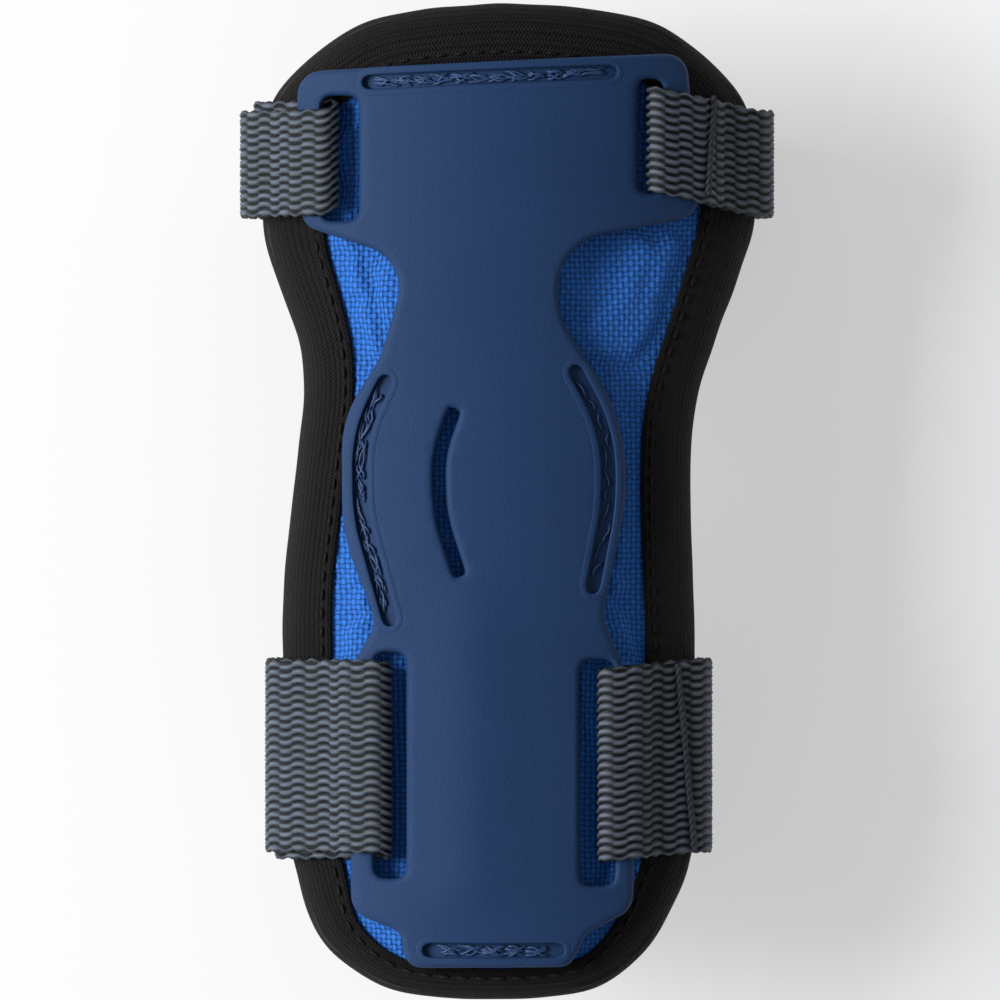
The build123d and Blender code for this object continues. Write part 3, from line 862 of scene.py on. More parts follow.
@dataclass
class Pad:
    """The pad: its face cloth, knitted binding, foam and lining."""

    finishes: Finishes
    tape: float = BINDING_THICKNESS
    step: float = 0.5
    facet_round: float = 3.5
    spread: float = 0.3
    head: tuple[float, float, float] = (64.0, 9.0, 2.3)
    shoulders: tuple[float, float, float, float] = (44.0, 13.0, 2.4, 1.3)
    even_out: int = 33
    top_steps: int = 8
    edge_steps: int = 15
    bottom_steps: int = 4
    ripples: int = 9
    ripple_waves: tuple[int, int] = (9, 60)
    edge_ripple: Point = (0.15, 0.12)
    face_ripple: float = 0.2
    inner_gap: float = 0.1
    seed: int = 3
    loop_pitch: float = 1.3
    loop_reach: float = 0.22
    rolled_lip: float = 0.25
    tuck: float = 0.3
    stitch_pitch: float = 3.0
    stitch_length: float = 2.3
    stitch_inset: float = 1.5
    stitch_radius: float = 0.28
    stitch_rise: float = 0.18
    stitch_sink: float = 0.35
    stitch_step: float = 0.1
    cloth_pitch: float = 1.1
    cloth_inset: float = 2.6
    cloth_overlap: float = 0.4
    groove_overlap: float = 0.6
    cloth_sink: float = 0.12
    cloth_puff: float = 0.7
    puff_reach: float = 5.0
    cloth_thickness: float = 0.5
    cloth_lowest: float = -0.14
    cloth_highest: float = 0.98
    settle_frames: int = 18
    settle_limit: float = 2.0

    def build(self) -> list[bpy.types.Object]:
        """Build the pad's pieces and return the new ones."""
        outer, window = loops_at("edge_binding", CLOTH_RADIUS + self.tape)[:2]
        for node, material in (("inner_lining", self.finishes.lining),
                               ("foam_core", self.finishes.foam)):
            dress_node(node, material)
        self.loop = smoothed(outer, self.facet_round, self.step)
        self.normals = inward(self.loop)
        self.loop = self.loop - self.normals * self.spread
        gaps = -signed_depth(self.loop, counterclockwise(window))
        x, y = self.loop[:, 0], self.loop[:, 1]
        start, fade, more = self.head
        head = more * ease((y - start) / fade)
        middle, reach, left, right = self.shoulders
        shoulder = np.where(x < 0, left, right) * np.exp(-((y - middle) / reach) ** 2)
        kernel = np.ones(self.even_out) / self.even_out
        half = self.even_out // 2
        wide = gaps + head + shoulder
        self.cover = np.convolve(np.concatenate([wide[-half:], wide, wide[:half]]), kernel,
                                 "valid")
        self.window = self.loop + self.normals * self.cover[:, None]
        return [self.binding(), self.edge_stitches(), self.face_cloth()]

    def section(self) -> list[tuple[Side, float]]:
        """Return the binding's section, from its upper edge round to its lower one."""
        upper = [(Side.TOP, 1 - share) for share in np.linspace(0, 1, self.top_steps + 1)[:-1]]
        round_edge = [(Side.EDGE, angle) for angle in np.linspace(90, -90, self.edge_steps)]
        lower = [(Side.BOTTOM, share) for share in np.linspace(0, 1, self.bottom_steps + 1)[1:]]
        return upper + round_edge + lower

    def binding(self) -> bpy.types.Object:
        """Build the tape that is rolled round the edge of the pad."""
        count = len(self.loop)
        top, bottom = CLOTH_RADIUS + self.tape, PAD_INNER - self.tape
        middle, half = (top + bottom) / 2, (top - bottom) / 2
        source = rng(self.seed)
        turn = np.arange(count) / count * 2 * math.pi
        ripple = np.zeros(count)
        for _ in range(self.ripples):
            size = source.uniform(0.4, 1)
            waves, phase = source.randint(*self.ripple_waves), source.random()
            ripple += size * np.sin(waves * turn + 2 * math.pi * phase) / self.ripples
        loops = np.abs(np.sin(np.arange(count) * self.step * math.pi / self.loop_pitch))
        rows = []
        for wall in (0.0, self.tape - self.inner_gap):
            section = self.section() if wall == 0 else reversed(self.section())
            for side, value in section:
                if side is Side.EDGE:
                    lean = math.radians(value)
                    depth = half - (half - wall) * math.cos(lean)
                    depth = depth + self.edge_ripple[0] * ripple * math.cos(lean)
                    radius = middle + (half - wall) * math.sin(lean)
                    radius = radius + self.edge_ripple[1] * ripple * math.sin(lean)
                else:
                    depth = half + (self.cover - half) * value
                    level = top - wall if side is Side.TOP else bottom + wall
                    radius = level + self.face_ripple * ripple * (1 - value)
                    if side is Side.TOP and wall == 0:
                        at_edge = max(0.0, value * self.top_steps - (self.top_steps - 1))
                        depth = depth + self.loop_reach * loops * at_edge
                        raised = self.rolled_lip * (value > 0.8) * (value < 1)
                        radius = radius + raised - self.tuck * at_edge
                plan = self.loop + self.normals * np.asarray(depth)[:, None]
                lifted = AXIS_Z + np.sqrt(np.asarray(radius) ** 2 - plan[:, 0] ** 2)
                rows.append(np.column_stack([plan, lifted]))
        grid = np.array(rows)
        steps = np.linalg.norm(np.diff(grid, axis=0), axis=2).mean(axis=1)
        across = np.concatenate([[0], np.cumsum(steps)])
        lines = len(rows)
        faces = grid_faces(lines, count, joined=True, closed=True)
        along = np.arange(count) * self.step
        uvs = np.column_stack([np.tile(along, lines), np.repeat(across, count)])
        binding = new_mesh("binding", grid.reshape(-1, 3), faces, uvs)
        turn_outwards(binding)
        smooth(binding)
        put_on_guard(binding, self.finishes.binding, "edge_binding")
        return binding

    def edge_stitches(self) -> bpy.types.Object:
        """Build the row of stitches near the binding's inner edge."""
        line = resample(self.loop + self.normals * (self.cover - self.stitch_inset)[:, None],
                        self.stitch_step)
        strands = []
        whole = len(line) * self.stitch_step
        for number in range(int(whole / self.stitch_pitch)):
            first = int(number * self.stitch_pitch / self.stitch_step)
            places = line[first:first + int(self.stitch_length / self.stitch_step):4]
            share = np.linspace(-1, 1, len(places))
            radius = CLOTH_RADIUS + self.tape + self.stitch_rise - self.stitch_sink * share**2
            lifted = [arch_z(float(level), float(x)) for level, x in zip(radius, places[:, 0])]
            strands.append((np.column_stack([places, lifted]), self.stitch_radius))
        piece = thread("binding_thread", strands, 6)
        return put_on_guard(piece, self.finishes.black_thread, "binding_stitching")

    def face_cloth(self) -> bpy.types.Object:
        """Build the face cloth, puffed between the plate and the binding."""
        low, high = self.loop.min(axis=0), self.loop.max(axis=0)
        columns, rows = (int(size / self.cloth_pitch) for size in high - low)
        deselect()
        bpy.ops.mesh.primitive_grid_add(x_subdivisions=columns, y_subdivisions=rows, size=1)
        cloth = bpy.context.object
        cloth.name = "cloth"
        points = vertices(cloth) * MM
        points[:, :2] = low + (points[:, :2] + 0.5) * (high - low)
        place_vertices(cloth, points)
        keep_vertices(cloth, within(points[:, :2], shifted(self.loop, self.cloth_inset)))
        flat = vertices(cloth)[:, :2]
        depth = signed_depth(flat, self.window)
        held = depth < self.cloth_overlap
        for groove in loops_at("splint_plate", CLOTH_RADIUS):
            held |= within(flat, shifted(groove, -self.groove_overlap))
        puff = self.cloth_puff * ease(depth / self.puff_reach) * ~held
        radius = CLOTH_RADIUS - self.cloth_sink + puff
        lifted = AXIS_Z + np.sqrt(radius**2 - flat[:, 0] ** 2)
        place_vertices(cloth, np.column_stack([flat, lifted]))
        write_uvs(cloth.data, flat)
        self.settle(cloth, held)
        self.hold_between_layers(cloth)
        activate(cloth)
        thick = cloth.modifiers.new("thickness", "SOLIDIFY")
        thick.thickness = self.cloth_thickness * MM
        thick.offset = -1
        bpy.ops.object.modifier_apply(modifier=thick.name)
        fine = cloth.modifiers.new("fine", "SUBSURF")
        fine.levels = fine.render_levels = 1
        bpy.ops.object.modifier_apply(modifier=fine.name)
        smooth(cloth)
        put_on_guard(cloth, self.finishes.cloth, "face_cloth")
        return cloth

    def hold_between_layers(self, cloth: bpy.types.Object) -> None:
        """Keep the cloth above the foam and below the plate's underside."""
        points = vertices(cloth)
        radius = np.hypot(points[:, 0], points[:, 2] - AXIS_Z)
        wanted = np.clip(radius, CLOTH_RADIUS + self.cloth_lowest,
                         CLOTH_RADIUS + self.cloth_highest)
        points[:, 2] = AXIS_Z + np.sqrt(wanted**2 - points[:, 0] ** 2)
        place_vertices(cloth, points)

    def settle(self, cloth: bpy.types.Object, held: np.ndarray) -> None:
        """Let the slack cloth puff and wrinkle under the plate by a cloth simulation."""
        group = cloth.vertex_groups.new(name="held")
        group.add([int(i) for i in np.nonzero(held)[0]], 1.0, "REPLACE")
        plate = frame["nodes"]["splint_plate"]
        collider = plate.copy()
        collider.data = plate.data.copy()
        bpy.context.scene.collection.objects.link(collider)
        collider.modifiers.new("Collision", "COLLISION")
        collider.collision.thickness_outer = 0.0002
        collider.collision.cloth_friction = 5
        before = vertices(cloth)
        modifier = cloth.modifiers.new("Cloth", "CLOTH")
        settings = modifier.settings
        for key, value in (("quality", 6), ("mass", 0.02), ("vertex_group_mass", "held"),
                           ("shrink_min", -0.07), ("tension_stiffness", 12),
                           ("compression_stiffness", 12), ("shear_stiffness", 4),
                           ("bending_stiffness", 0.02), ("use_pressure", True),
                           ("uniform_pressure_force", 1.2)):
            setattr(settings, key, value)
        settings.effector_weights.gravity = 0
        modifier.collision_settings.distance_min = 0.0002
        modifier.collision_settings.use_collision = True
        scene = bpy.context.scene
        modifier.point_cache.frame_start = 1
        modifier.point_cache.frame_end = self.settle_frames
        for number in range(1, self.settle_frames + 1):
            scene.frame_set(number)
        activate(cloth)
        bpy.ops.object.modifier_apply(modifier=modifier.name)
        scene.frame_set(1)
        bpy.data.objects.remove(collider)
        moved = vertices(cloth) - before
        size = np.linalg.norm(moved, axis=1)
        limit = np.where(size > self.settle_limit,
                         self.settle_limit / np.maximum(size, 1e-6), 1.0)
        place_vertices(cloth, before + moved * limit[:, None])


def within(points: np.ndarray, loop: np.ndarray) -> np.ndarray:
    """Tell which points lie inside a closed loop."""
    x, y = points[:, 0], points[:, 1]
    inside = np.zeros(len(points), dtype=bool)
    for (ax, ay), (bx, by) in zip(loop, np.roll(loop, -1, axis=0)):
        crosses = (ay > y) != (by > y)
        with np.errstate(divide="ignore", invalid="ignore"):
            cut = ax + (y - ay) / (by - ay) * (bx - ax)
        inside ^= crosses & (x < cut)
    return inside


def signed_depth(points: np.ndarray, loop: np.ndarray) -> np.ndarray:
    """Return how far points lie inside a loop, negative outside."""
    dense = resample(loop, DEPTH_STEP)
    nearest = np.full(len(points), np.inf)
    for start in range(0, len(dense), DEPTH_BLOCK):
        block = dense[start:start + DEPTH_BLOCK]
        gap = np.sqrt(((points[:, None, :] - block[None, :, :]) ** 2).sum(axis=2))
        nearest = np.minimum(nearest, gap.min(axis=1))
    return np.where(within(points, loop), nearest, -nearest)


def keep_vertices(obj: bpy.types.Object, keep: np.ndarray) -> None:
    """Delete the vertices that aren't kept."""
    mesh = bmesh.new()
    mesh.from_mesh(obj.data)
    mesh.verts.ensure_lookup_table()
    doomed = [mesh.verts[i] for i in np.nonzero(~keep)[0]]
    bmesh.ops.delete(mesh, geom=doomed, context="VERTS")
    mesh.to_mesh(obj.data)
    mesh.free()


# Straps

def past(radius: float, angle: float, distance: float) -> Point:
    """Return the (x, z) point at a distance along the tangent at an angle of the arch."""
    return (radius * math.sin(angle) + distance * math.cos(angle),
            AXIS_Z + radius * math.cos(angle) - distance * math.sin(angle))


def arch_arc(radius: float, first: float, last: float) -> Corner:
    """Return the corner that makes an arc of the arch between two angles."""
    middle, half = (first + last) / 2, abs(last - first) / 2
    reach = radius / math.cos(half)
    return reach * math.sin(middle), AXIS_Z + reach * math.cos(middle), radius


def edge_bend(side: int, x: float, arch: float, bend: float) -> tuple[float, Corner]:
    """Return a bend's angle on the arch and its corner, where a ply turns down at x."""
    angle = math.asin((x - bend) / (arch - bend))
    z = AXIS_Z + (arch - x * math.sin(angle)) / math.cos(angle)
    return side * angle, (side * x, z, bend)


def traced(corners: Sequence[Sequence[float]], step: float = 0.05) -> np.ndarray:
    """Return points at a small step along a path of rounded corners."""
    points = [np.array(corners[0][:2], float)]
    for i in range(1, len(corners) - 1):
        before, at, after = (np.array(corner[:2], float) for corner in corners[i - 1:i + 2])
        radius = corners[i][2]
        into, out = at - before, after - at
        into, out = into / np.linalg.norm(into), out / np.linalg.norm(out)
        turn = math.atan2(into[0] * out[1] - into[1] * out[0], float(into @ out))
        reach = radius * math.tan(abs(turn) / 2)
        sign = 1 if turn > 0 else -1
        start = at - into * reach
        centre = start + sign * radius * np.array([-into[1], into[0]])
        count = max(3, int(abs(turn) * radius / step))
        for share in np.linspace(0, 1, count + 1):
            lean = turn * share
            spoke = start - centre
            cos, sin = math.cos(lean), math.sin(lean)
            points.append(centre + np.array([spoke[0] * cos - spoke[1] * sin,
                                             spoke[0] * sin + spoke[1] * cos]))
    points.append(np.array(corners[-1][:2], float))
    return np.array(points)


@dataclass
class Ply:
    """Webbing along a path: it gives places, and the heading's normal, by length."""

    path: np.ndarray
    reach: float = 0.25

    def __post_init__(self) -> None:
        """Measure the path."""
        gaps = np.linalg.norm(np.diff(self.path, axis=0), axis=1)
        keep = np.concatenate([[True], gaps > 1e-5])
        self.path = self.path[keep]
        gaps = np.linalg.norm(np.diff(self.path, axis=0), axis=1)
        self.lengths = np.concatenate([[0], np.cumsum(gaps)])

    @property
    def length(self) -> float:
        """Return the path's length."""
        return float(self.lengths[-1])

    def points(self, places: np.ndarray) -> np.ndarray:
        """Return the points at lengths along the path."""
        return np.column_stack([np.interp(places, self.lengths, self.path[:, i])
                                for i in (0, 1)])

    def at(self, places: np.ndarray) -> tuple[np.ndarray, np.ndarray]:
        """Return the points and left-hand normals at lengths along the path."""
        heading = self.points(places + self.reach) - self.points(places - self.reach)
        heading /= np.linalg.norm(heading, axis=1)[:, None]
        return self.points(places), np.column_stack([-heading[:, 1], heading[:, 0]])


@dataclass
class Strap:
    """One webbing strap: sewn round the right rail, folded back round the left one."""

    name: str
    finishes: Finishes
    low: float
    width: float
    left_fold: float
    right_fold: float
    plate_left: float
    plate_right: float
    pad_left: float
    pad_right: float
    tab_gap: float
    inner_shift: float
    skew: float
    ends: int
    seed: int
    pick: float = 2.43
    steps: int = 5
    bow: float = 0.2
    seam: tuple[Point, Point] = ((0.0, 0.0), (0.0, 1.0))
    bend: float = 3.2
    back_bend: float = 22.5
    step_bend: float = 1.6
    step_run: float = 4.0
    tail: float = 7.0
    blend_reach: float = 1.2
    fade: float = 5.0
    side_height: float = 20.0
    seam_step: float = 0.2
    seam_margin: float = 1.2
    seam_twist: float = 2.4
    seam_radius: float = 0.34
    seam_wave: Point = (0.24, 0.2)
    seam_rise: float = 0.02
    seam_search: float = 0.3
    scallop_reach: float = 0.9
    columns_per_end: float = 2.5
    float_reach: float = 1.32
    float_width: float = 0.46
    core: float = 0.18
    relief: float = 0.47
    selvedge: float = 0.6
    scallop: float = 0.17
    sway_step: float = 12.0
    sway: float = 0.12
    unevenness: float = 0.07
    pinch: float = 0.35
    pinch_width: float = 0.8

    def __post_init__(self) -> None:
        """Work out the levels of the plies."""
        self.over_sewn = PLATE_OUTER + SLIP + WEB / 2
        self.over_free = PLATE_OUTER + FREE_GAP + WEB / 2
        self.back_z = 1.5 * WEB + 2 * PATCH + FREE_GAP
        self.high = self.low + self.width

    def fold(self, side: int, x: float, over: float) -> tuple[float, list[Corner], Point]:
        """Return the angle, corners and upper end of a fold round a rail's edge."""
        radius = (over - UNDER) / 2
        angle = math.asin(x / ((over + UNDER) / 2))
        corners = [(*past(arch, angle, -side * radius), radius) for arch in (UNDER, over)]
        return angle, corners, past(over, angle, 0)

    def step_down(self, side: int, edge: float, over: float,
                  lower: float) -> tuple[float, float, list[Corner]]:
        """Return the angles and corners of a ply's step off the plate's edge."""
        first = side * math.asin((edge + SLIP) / over)
        second = side * math.asin((edge + SLIP + self.step_run) / lower)
        reach = 0.0
        for _ in range(8):
            (x0, z0) = past(over, first, side * reach)
            (x1, z1) = past(lower, second, -side * reach)
            turn = math.atan2(z0 - z1, abs(x1 - x0)) - abs(first)
            reach = self.step_bend * math.tan(turn / 2)
        return first, second, [(x0, z0, self.step_bend), (x1, z1, self.step_bend)]

    def run_path(self) -> list[Sequence[float]]:
        """Return the sewn ply's path, from its tail to the top of the left fold."""
        spread = WEB + SLIP
        tail_x = self.pad_right + THREAD_HEIGHT + SLIP + WEB / 2
        tail_angle, tail_bend = edge_bend(1, tail_x, UNDER, self.bend)
        right_angle, right_fold, _ = self.fold(1, self.right_fold, self.over_sewn)
        off, on, step = self.step_down(1, self.plate_right, self.over_sewn, UNDER + spread)
        top_angle, top_bend = edge_bend(1, tail_x + spread, UNDER + spread, self.bend + spread)
        left_x = self.pad_left + THREAD_HEIGHT + SLIP + WEB / 2
        left_angle, left_bend = edge_bend(-1, left_x, UNDER, self.bend)
        fold_angle, left_fold, end = self.fold(-1, self.left_fold, self.over_free)
        return [(tail_x, tail_bend[1] - self.tail), tail_bend,
                arch_arc(UNDER, tail_angle, right_angle), *right_fold,
                arch_arc(self.over_sewn, right_angle, off), *step,
                arch_arc(UNDER + spread, on, top_angle), top_bend,
                (tail_x + spread, self.back_z, self.back_bend),
                (-left_x, self.back_z, self.back_bend),
                left_bend, arch_arc(UNDER, left_angle, fold_angle), *left_fold, end]

    def free_path(self) -> list[Sequence[float]]:
        """Return the free ply's path, from the left fold's top to the tip on the back."""
        spread = WEB + self.tab_gap
        tab_x = self.pad_left + THREAD_HEIGHT + SLIP + WEB / 2 + spread
        angle = self.fold(-1, self.left_fold, self.over_free)[0]
        off, on, step = self.step_down(-1, self.plate_left, self.over_free, UNDER + spread)
        bend_angle, bend = edge_bend(-1, tab_x, UNDER + spread, self.bend + spread)
        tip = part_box(f"{self.name}_strap_end")[1][0] / MM
        return [past(self.over_free, angle, 0), arch_arc(self.over_free, angle, off), *step,
                arch_arc(UNDER + spread, on, bend_angle), bend,
                (-tab_x, WEB / 2, self.back_z - WEB / 2 + self.back_bend), (tip, WEB / 2)]

    def build(self) -> list[bpy.types.Object]:
        """Build the strap's webbing, seam and patches."""
        run = traced(self.run_path())
        whole = np.vstack([run, traced(self.free_path())[1:]])
        ply = Ply(whole)
        run_length = Ply(run).length
        fold_radius = (self.over_free - UNDER) / 2
        unit = self.pick / self.steps
        half_turn = math.pi * fold_radius / 2
        cut_fold = round((run_length - half_turn) / unit) * unit
        lower = np.nonzero((np.arange(len(whole)) > len(run))
                           & (whole[:, 1] < self.back_z + self.back_bend))[0][0]
        cut_side = round(ply.lengths[min(lower, len(ply.lengths) - 1)] / unit) * unit
        end = math.floor(ply.length / unit) * unit
        log.info("%s strap: run %.0f mm, whole %.0f mm", self.name, run_length, ply.length)
        pieces = []
        for part, node, first, last in (("run", "run", 0.0, cut_fold),
                                        ("fold", "side", cut_fold, cut_side),
                                        ("tab", "end", cut_side, end)):
            piece = self.webbing(f"{self.name}_webbing_{part}", ply, first, last, run_length)
            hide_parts(f"{self.name}_strap_{node}")
            pieces.append(piece)
        run_piece, fold_piece, tab_piece = pieces
        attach(run_piece, "guard")
        for joint, piece, first, second in (
                ("side_lift", fold_piece, "guard", f"{self.name}_side"),
                ("end_peel", tab_piece, f"{self.name}_side", f"{self.name}_end")):
            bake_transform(piece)
        dress_node(f"{self.name}_hook_patch", self.finishes.hook)
        dress_node(f"{self.name}_loop_patch", self.finishes.loop)
        dress_node(f"{self.name}_loop_stitching", self.finishes.grey_thread)
        pieces.append(self.seam_thread(run))
        return pieces

    def lift(self, points: np.ndarray, places: np.ndarray, run_length: float) -> np.ndarray:
        """Return how far the webbing lies above its nominal place at each length."""
        x, z = points[:, 0], points[:, 1]
        upper = np.interp(x, [-60, 0, self.right_fold - 5, self.pad_right, 60],
                          [self.inner_shift, self.inner_shift, self.skew, 0, 0])
        hinge = joint_place(f"{self.name}_end_peel")[0] / MM
        lower = np.interp(x, [-60, hinge, -hinge, 60], [self.inner_shift, self.inner_shift, 0, 0])
        on_run = np.where(z > self.back_z + self.back_bend + 1, upper, lower)
        fade_start = run_length - self.fade
        fade = 1 - ease((places - fade_start) / self.fade)
        return np.where(places < fade_start, on_run, self.inner_shift * fade)

    def on_top(self, points: np.ndarray) -> np.ndarray:
        """Tell which (x, z) points lie on the upper plies, right of the right fold."""
        return (points[:, 0] > self.right_fold) & (points[:, 1] > self.back_z + self.side_height)

    def seam_at(self, y: np.ndarray) -> np.ndarray:
        """Return the seam's x at each y."""
        (x0, y0), (x1, y1) = self.seam
        return x0 + (y - y0) * (x1 - x0) / (y1 - y0)

    def seam_thread(self, run: np.ndarray) -> bpy.types.Object:
        """Build the thick thread sewn across the plies beside the right fold.

        Args:
            run: The sewn ply's path.

        Returns:
            The seam's thread.
        """
        (_, y0), (_, y1) = self.seam
        y = np.arange(y1 + self.seam_margin, y0 - self.seam_margin, self.seam_step)
        x = self.seam_at(y)
        ply = Ply(run)
        dense = ply.points(np.arange(0, ply.length, 0.1))
        upper = dense[self.on_top(dense)]
        nearby = np.abs(upper[None, :, 0] - x[:, None]) < self.seam_search
        level = np.where(nearby, upper[None, :, 1], -1e3).max(axis=1)
        strands = []
        for phase in (0.0, math.pi):
            turn = np.arange(len(y)) * self.seam_step * 2 * math.pi / self.seam_twist + phase
            aside, up = self.seam_wave
            strand = np.column_stack([x + aside * np.sin(turn), y,
                                      level + WEB / 2 + self.seam_rise + up * np.cos(turn)])
            strands.append((strand, self.seam_radius))
        piece = thread(f"{self.name}_seam_thread", strands, 8)
        return put_on_guard(piece, self.finishes.grey_thread, f"{self.name}_strap_seam")

    def webbing(self, name: str, ply: Ply, first: float, last: float,
                run_length: float) -> bpy.types.Object:
        """Weave the webbing between two lengths along the ply.

        Args:
            name: The piece's name.
            ply: The whole strap's path.
            first: Where the piece starts, in millimetres along the path.
            last: Where it ends.
            run_length: Where the free ply starts.

        Returns:
            The webbing, with its weave as relief on both faces.
        """
        unit = self.pick / self.steps
        count = int(round((last - first) / unit))
        places = first + np.arange(count + 1) * unit
        middle, normal = ply.at(places)
        columns = int(self.columns_per_end * self.ends)
        across = np.linspace(0, 1, columns + 1)
        row = 2 * self.width / self.ends
        edge = np.minimum(across, 1 - across) * self.width
        rounding = np.sqrt(np.clip(1 - (1 - np.clip(edge / self.selvedge, 0, 1)) ** 2, 0, 1))
        lift = self.lift(middle, places, run_length)
        source = np.random.default_rng(self.seed)
        knots = np.arange(0, ply.length + self.sway_step, self.sway_step)
        sway = np.interp(places, knots, source.normal(0, self.sway, len(knots)))
        grid, heights, uvs = [], [], []
        pick_at = places / self.pick
        uneven = source.normal(1.0, self.unevenness,
                               (int(ply.length / self.pick) + 3, columns + 2))
        on_top = self.on_top(middle)
        for side in (1, -1):
            order = range(columns + 1) if side == 1 else range(columns, -1, -1)
            for j in order:
                v = across[j] * self.width
                best = np.zeros(len(places))
                for near in (np.floor(pick_at), np.floor(pick_at) + 1):
                    parity = (near + (0 if side == 1 else 1)) % 2
                    along = pick_at - near
                    reach = along * self.pick / self.float_reach
                    phase = v / row - parity / 2 + self.bow * (2 * parity - 1) * reach**2
                    off = (phase - np.round(phase)) * row / self.float_width
                    crown = np.clip(1 - off**2, 0, 1) * np.clip(1 - reach**4, 0, 1)
                    height = np.sqrt(crown) * uneven[near.astype(int), j]
                    best = np.maximum(best, height)
                thinned = 0.5 + 0.5 * rounding[j]
                half = (self.core + self.relief * best) * thinned
                outward = 1 if across[j] > 0.5 else -1
                scallop = self.scallop * max(0.0, 1 - edge[j] / self.scallop_reach) * outward
                loops = uneven[pick_at.astype(int), -1] * np.cos(pick_at * 2 * math.pi)
                y = self.low + v + lift + sway + scallop * loops
                spot = middle + normal * (side * half)[:, None]
                aside = (spot[:, 0] - self.seam_at(y)) / self.pinch_width
                spot[:, 1] -= self.pinch * np.exp(-aside**2) * on_top
                grid.append(np.column_stack([spot[:, 0], y, spot[:, 1]]))
                heights.append(best * thinned)
                uvs.append(np.column_stack([places, np.full(len(places), v)]))
        rows, length = len(grid), len(places)
        points = np.array(grid).reshape(-1, 3)
        faces = grid_faces(rows, length, joined=True, closed=False)
        for k in (0, length - 1):
            for a in range(columns):
                b = rows - 1 - a
                faces.append((a * length + k, (a + 1) * length + k, (b - 1) * length + k,
                              b * length + k))
        piece = new_mesh(name, points, faces, np.array(uvs).reshape(-1, 2))
        # The weave's height also sets the painted shade of the webbing's material.
        attribute = piece.data.attributes.new("weave_height", "FLOAT", "POINT")
        attribute.data.foreach_set("value", np.array(heights).ravel().astype(np.float32))
        turn_outwards(piece)
        smooth(piece, 60)
        dress(piece, self.finishes.webbing)
        return piece


def turn_outwards(obj: bpy.types.Object) -> None:
    """Turn every face outwards and leave the vertices as they are."""
    activate(obj)
    bpy.ops.object.mode_set(mode="EDIT")
    bpy.ops.mesh.select_all(action="SELECT")
    bpy.ops.mesh.normals_make_consistent(inside=False)
    bpy.ops.object.mode_set(mode="OBJECT")


def joint_place(name: str) -> tuple[float, float, float]:
    """Return a joint's place in metres."""
    for joint in frame["joints"]:
        if joint["name"] == name:
            return tuple(joint["pos_m"])
    raise KeyError(name)


# Threads

def tube(points: np.ndarray, radius: float, sides: int) -> tuple[np.ndarray, list]:
    """Return the vertices and faces of a closed tube along points."""
    heading = np.gradient(points, axis=0)
    heading /= np.linalg.norm(heading, axis=1)[:, None]
    up = np.array([0.0, 0.0, 1.0])
    rings = []
    for number, (point, ahead) in enumerate(zip(points, heading)):
        side = np.cross(ahead, up if abs(ahead[2]) < 0.95 else np.array([1.0, 0.0, 0.0]))
        side /= np.linalg.norm(side)
        other = np.cross(side, ahead)
        size = radius * (0.5 if number in (0, len(points) - 1) else 1)
        turns = np.arange(sides) / sides * 2 * math.pi
        rings.append(point + size * (np.cos(turns)[:, None] * side
                                     + np.sin(turns)[:, None] * other))
    faces = grid_faces(len(points), sides, joined=False, closed=True)
    faces.append(tuple(range(sides))[::-1])
    faces.append(tuple((len(points) - 1) * sides + j for j in range(sides)))
    return np.vstack(rings), faces


def thread(name: str, strands: Iterable[tuple[np.ndarray, float]],
           sides: int) -> bpy.types.Object:
    """Build one piece from strands of thread.

    Args:
        name: The piece's name.
        strands: The points along each strand, and its radius.
        sides: How many sides a strand has.

    Returns:
        The piece, smooth and not yet dressed.
    """
    rings, faces, base = [], [], 0
    for points, radius in strands:
        ring, quads = tube(points, radius, sides)
        rings.append(ring)
        faces += [tuple(v + base for v in quad) for quad in quads]
        base += len(ring)
    piece = new_mesh(name, np.vstack(rings), faces)
    turn_outwards(piece)
    smooth(piece)
    return piece


@dataclass
class Stitching:
    """Rows of thread that follow the frame's stitches."""

    finishes: Finishes
    wave: float = 0.18
    half_width: float = 0.75
    rest: float = 0.12
    radii: tuple[float, float] = (0.13, 0.22)
    aside: float = 0.6
    drift: float = 0.7
    spans: tuple[float, float] = (0.9, 2.4)
    heights: tuple[float, float] = (0.1, 0.45)
    first_seed: int = 40

    def build(self) -> list[bpy.types.Object]:
        """Build the threads in the grooves of the plate."""
        grooves = (("top", 5), ("left", 4), ("right", 1), ("foot", 6))
        return [self.groove(name, number, strands)
                for number, (name, strands) in enumerate(grooves)]

    def groove(self, name: str, seed: int, strands: int) -> bpy.types.Object:
        """Build the loose threads in one groove.

        Args:
            name: The groove.
            seed: Number that starts its random draws.
            strands: How many threads lie at each stitch.

        Returns:
            The threads.
        """
        node = f"{name}_groove_stitching"
        centres = stitch_centres(node)
        source = rng(seed + self.first_seed)
        pieces = []
        floor = PLATE_OUTER - GROOVE_DEPTH
        for a, b in zip(centres, centres[1:]):
            along = (b - a) / np.linalg.norm(b - a)
            across = np.array([-along[1], along[0]])
            for _ in range(strands):
                offset = source.uniform(-self.aside, self.aside)
                drift = source.uniform(-self.drift, self.drift)
                span = source.uniform(*self.spans)
                phase, height = source.uniform(0, 6.28), source.uniform(*self.heights)
                rows = []
                for share in np.linspace(-1, 1, 8):
                    wave = self.wave * math.sin(3 * share + phase)
                    aside = offset + drift * share + wave
                    aside = max(-self.half_width, min(self.half_width, aside))
                    plan = (a + b) / 2 + along * share * span + across * aside
                    radius = floor + self.rest + height * (1 - share**2)
                    rows.append((plan[0], plan[1], arch_z(radius, plan[0])))
                pieces.append((np.array(rows), source.uniform(*self.radii)))
        piece = thread(f"{name}_groove_thread", pieces, 6)
        return put_on_guard(piece, self.finishes.blue_thread, node)


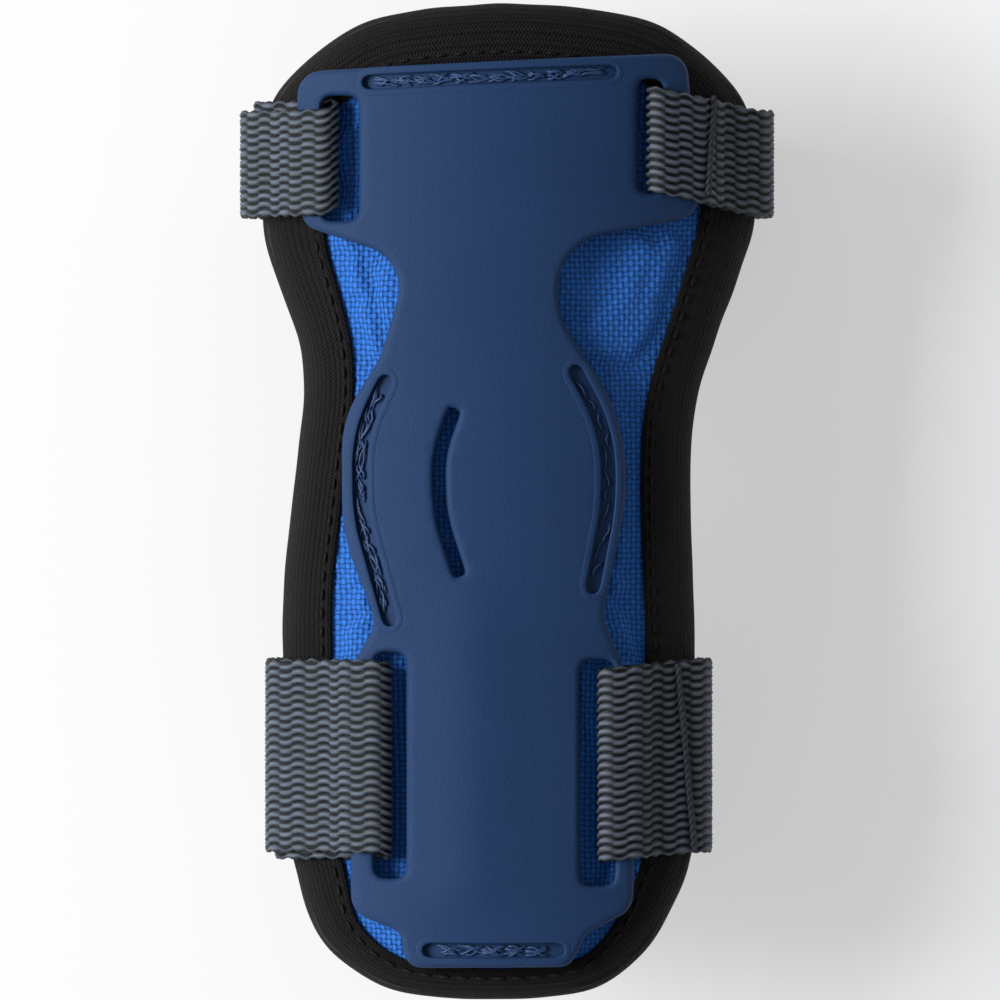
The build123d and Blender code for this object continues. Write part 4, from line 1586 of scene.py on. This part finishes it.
def stitch_centres(node: str) -> list[np.ndarray]:
    """Return the (x, y) centres of a node's stitches, in their order along the row."""
    mesh = bmesh.new()
    mesh.from_mesh(frame["nodes"][node].data)
    bmesh.ops.remove_doubles(mesh, verts=mesh.verts, dist=MERGE)
    unseen, centres = set(mesh.verts), []
    while unseen:
        stack = [unseen.pop()]
        island = []
        while stack:
            vert = stack.pop()
            island.append((vert.co.x / MM, vert.co.y / MM))
            for edge in vert.link_edges:
                other = edge.other_vert(vert)
                if other in unseen:
                    unseen.discard(other)
                    stack.append(other)
        centres.append(np.mean(np.array(island), axis=0))
    mesh.free()
    spread = np.ptp(np.array(centres), axis=0)
    axis = 0 if spread[0] > spread[1] else 1
    return sorted(centres, key=lambda centre: centre[axis])


# Studio

@dataclass
class Studio:
    """A pale floor, soft lights and the camera over the plate."""

    width: float = 161.1
    centre: Point = (-1.05, 0.08)
    plane_z: float = 44.0
    distance: float = 2500.0
    floor_size: float = 4
    key_place: Corner = (-2.0, 0.25, 1.38)
    key_size: float = 1.3
    key_power: float = 72
    sky: float = 0.26

    def build(self, effects: Effects) -> None:
        """Build the floor, lights, world and camera."""
        deselect()
        bpy.ops.mesh.primitive_plane_add(size=self.floor_size, location=(0, 0, 0))
        floor = bpy.context.object
        floor.name = "floor"
        dress(floor, FLOOR.material(effects))
        self.world()
        self.light("key", self.key_place, self.key_size, self.key_power)
        data = bpy.data.cameras.new("camera")
        data.sensor_width = 36
        data.lens = data.sensor_width * self.distance / self.width
        data.clip_end = 20
        camera = bpy.data.objects.new("camera", data)
        camera.location = (self.centre[0] * MM, self.centre[1] * MM,
                           (self.plane_z + self.distance) * MM)
        bpy.context.scene.collection.objects.link(camera)
        bpy.context.scene.camera = camera
        bpy.context.scene.view_settings.view_transform = "Standard"

    def world(self) -> None:
        """Light the scene softly from all round."""
        world = bpy.data.worlds.new("studio")
        world.use_nodes = True
        background = world.node_tree.nodes["Background"]
        background.inputs["Color"].default_value = (1, 1, 1, 1)
        background.inputs["Strength"].default_value = self.sky
        bpy.context.scene.world = world

    @staticmethod
    def light(name: str, place: Sequence[float], size: float, power: float) -> None:
        """Add a square soft light aimed at the guard."""
        data = bpy.data.lights.new(name, "AREA")
        data.shape = "SQUARE"
        data.size = size
        data.energy = power
        lamp = bpy.data.objects.new(name, data)
        lamp.location = place
        lamp.rotation_euler = (Vector((0, 0, 0.03)) - Vector(place)).to_track_quat(
            "-Z", "Y").to_euler()
        bpy.context.scene.collection.objects.link(lamp)


def main() -> None:
    """Build the guard's pieces in order, then the studio."""
    logging.basicConfig(level=logging.INFO, format="%(name)s: %(message)s")
    finishes = Finishes()
    upper = Strap("upper", finishes, low=46.0, width=17.0, left_fold=-29.4, right_fold=24.8,
                  plate_left=34.0, plate_right=31.4, pad_left=39.3, pad_right=40.3,
                  tab_gap=0.9, inner_shift=1.6, skew=4.4, ends=25, seed=5,
                  seam=((33.5, 66.5), (32.4, 48.0)))
    lower = Strap("lower", finishes, low=-56.8, width=31.0, left_fold=-20.8, right_fold=17.0,
                  plate_left=25.05, plate_right=20.45, pad_left=35.8, pad_right=30.2,
                  tab_gap=0.3, inner_shift=-1.0, skew=-1.2, ends=46, seed=6,
                  seam=((27.5, -25.0), (30.4, -57.5)))
    for builder in (SplintPlate(finishes), Pad(finishes), upper, lower, Stitching(finishes)):
        for piece in builder.build():
            log.info("%s: %d faces", piece.name, len(piece.data.polygons))
    Studio().build(finishes.effects)


if __name__ == "__main__":
    main()
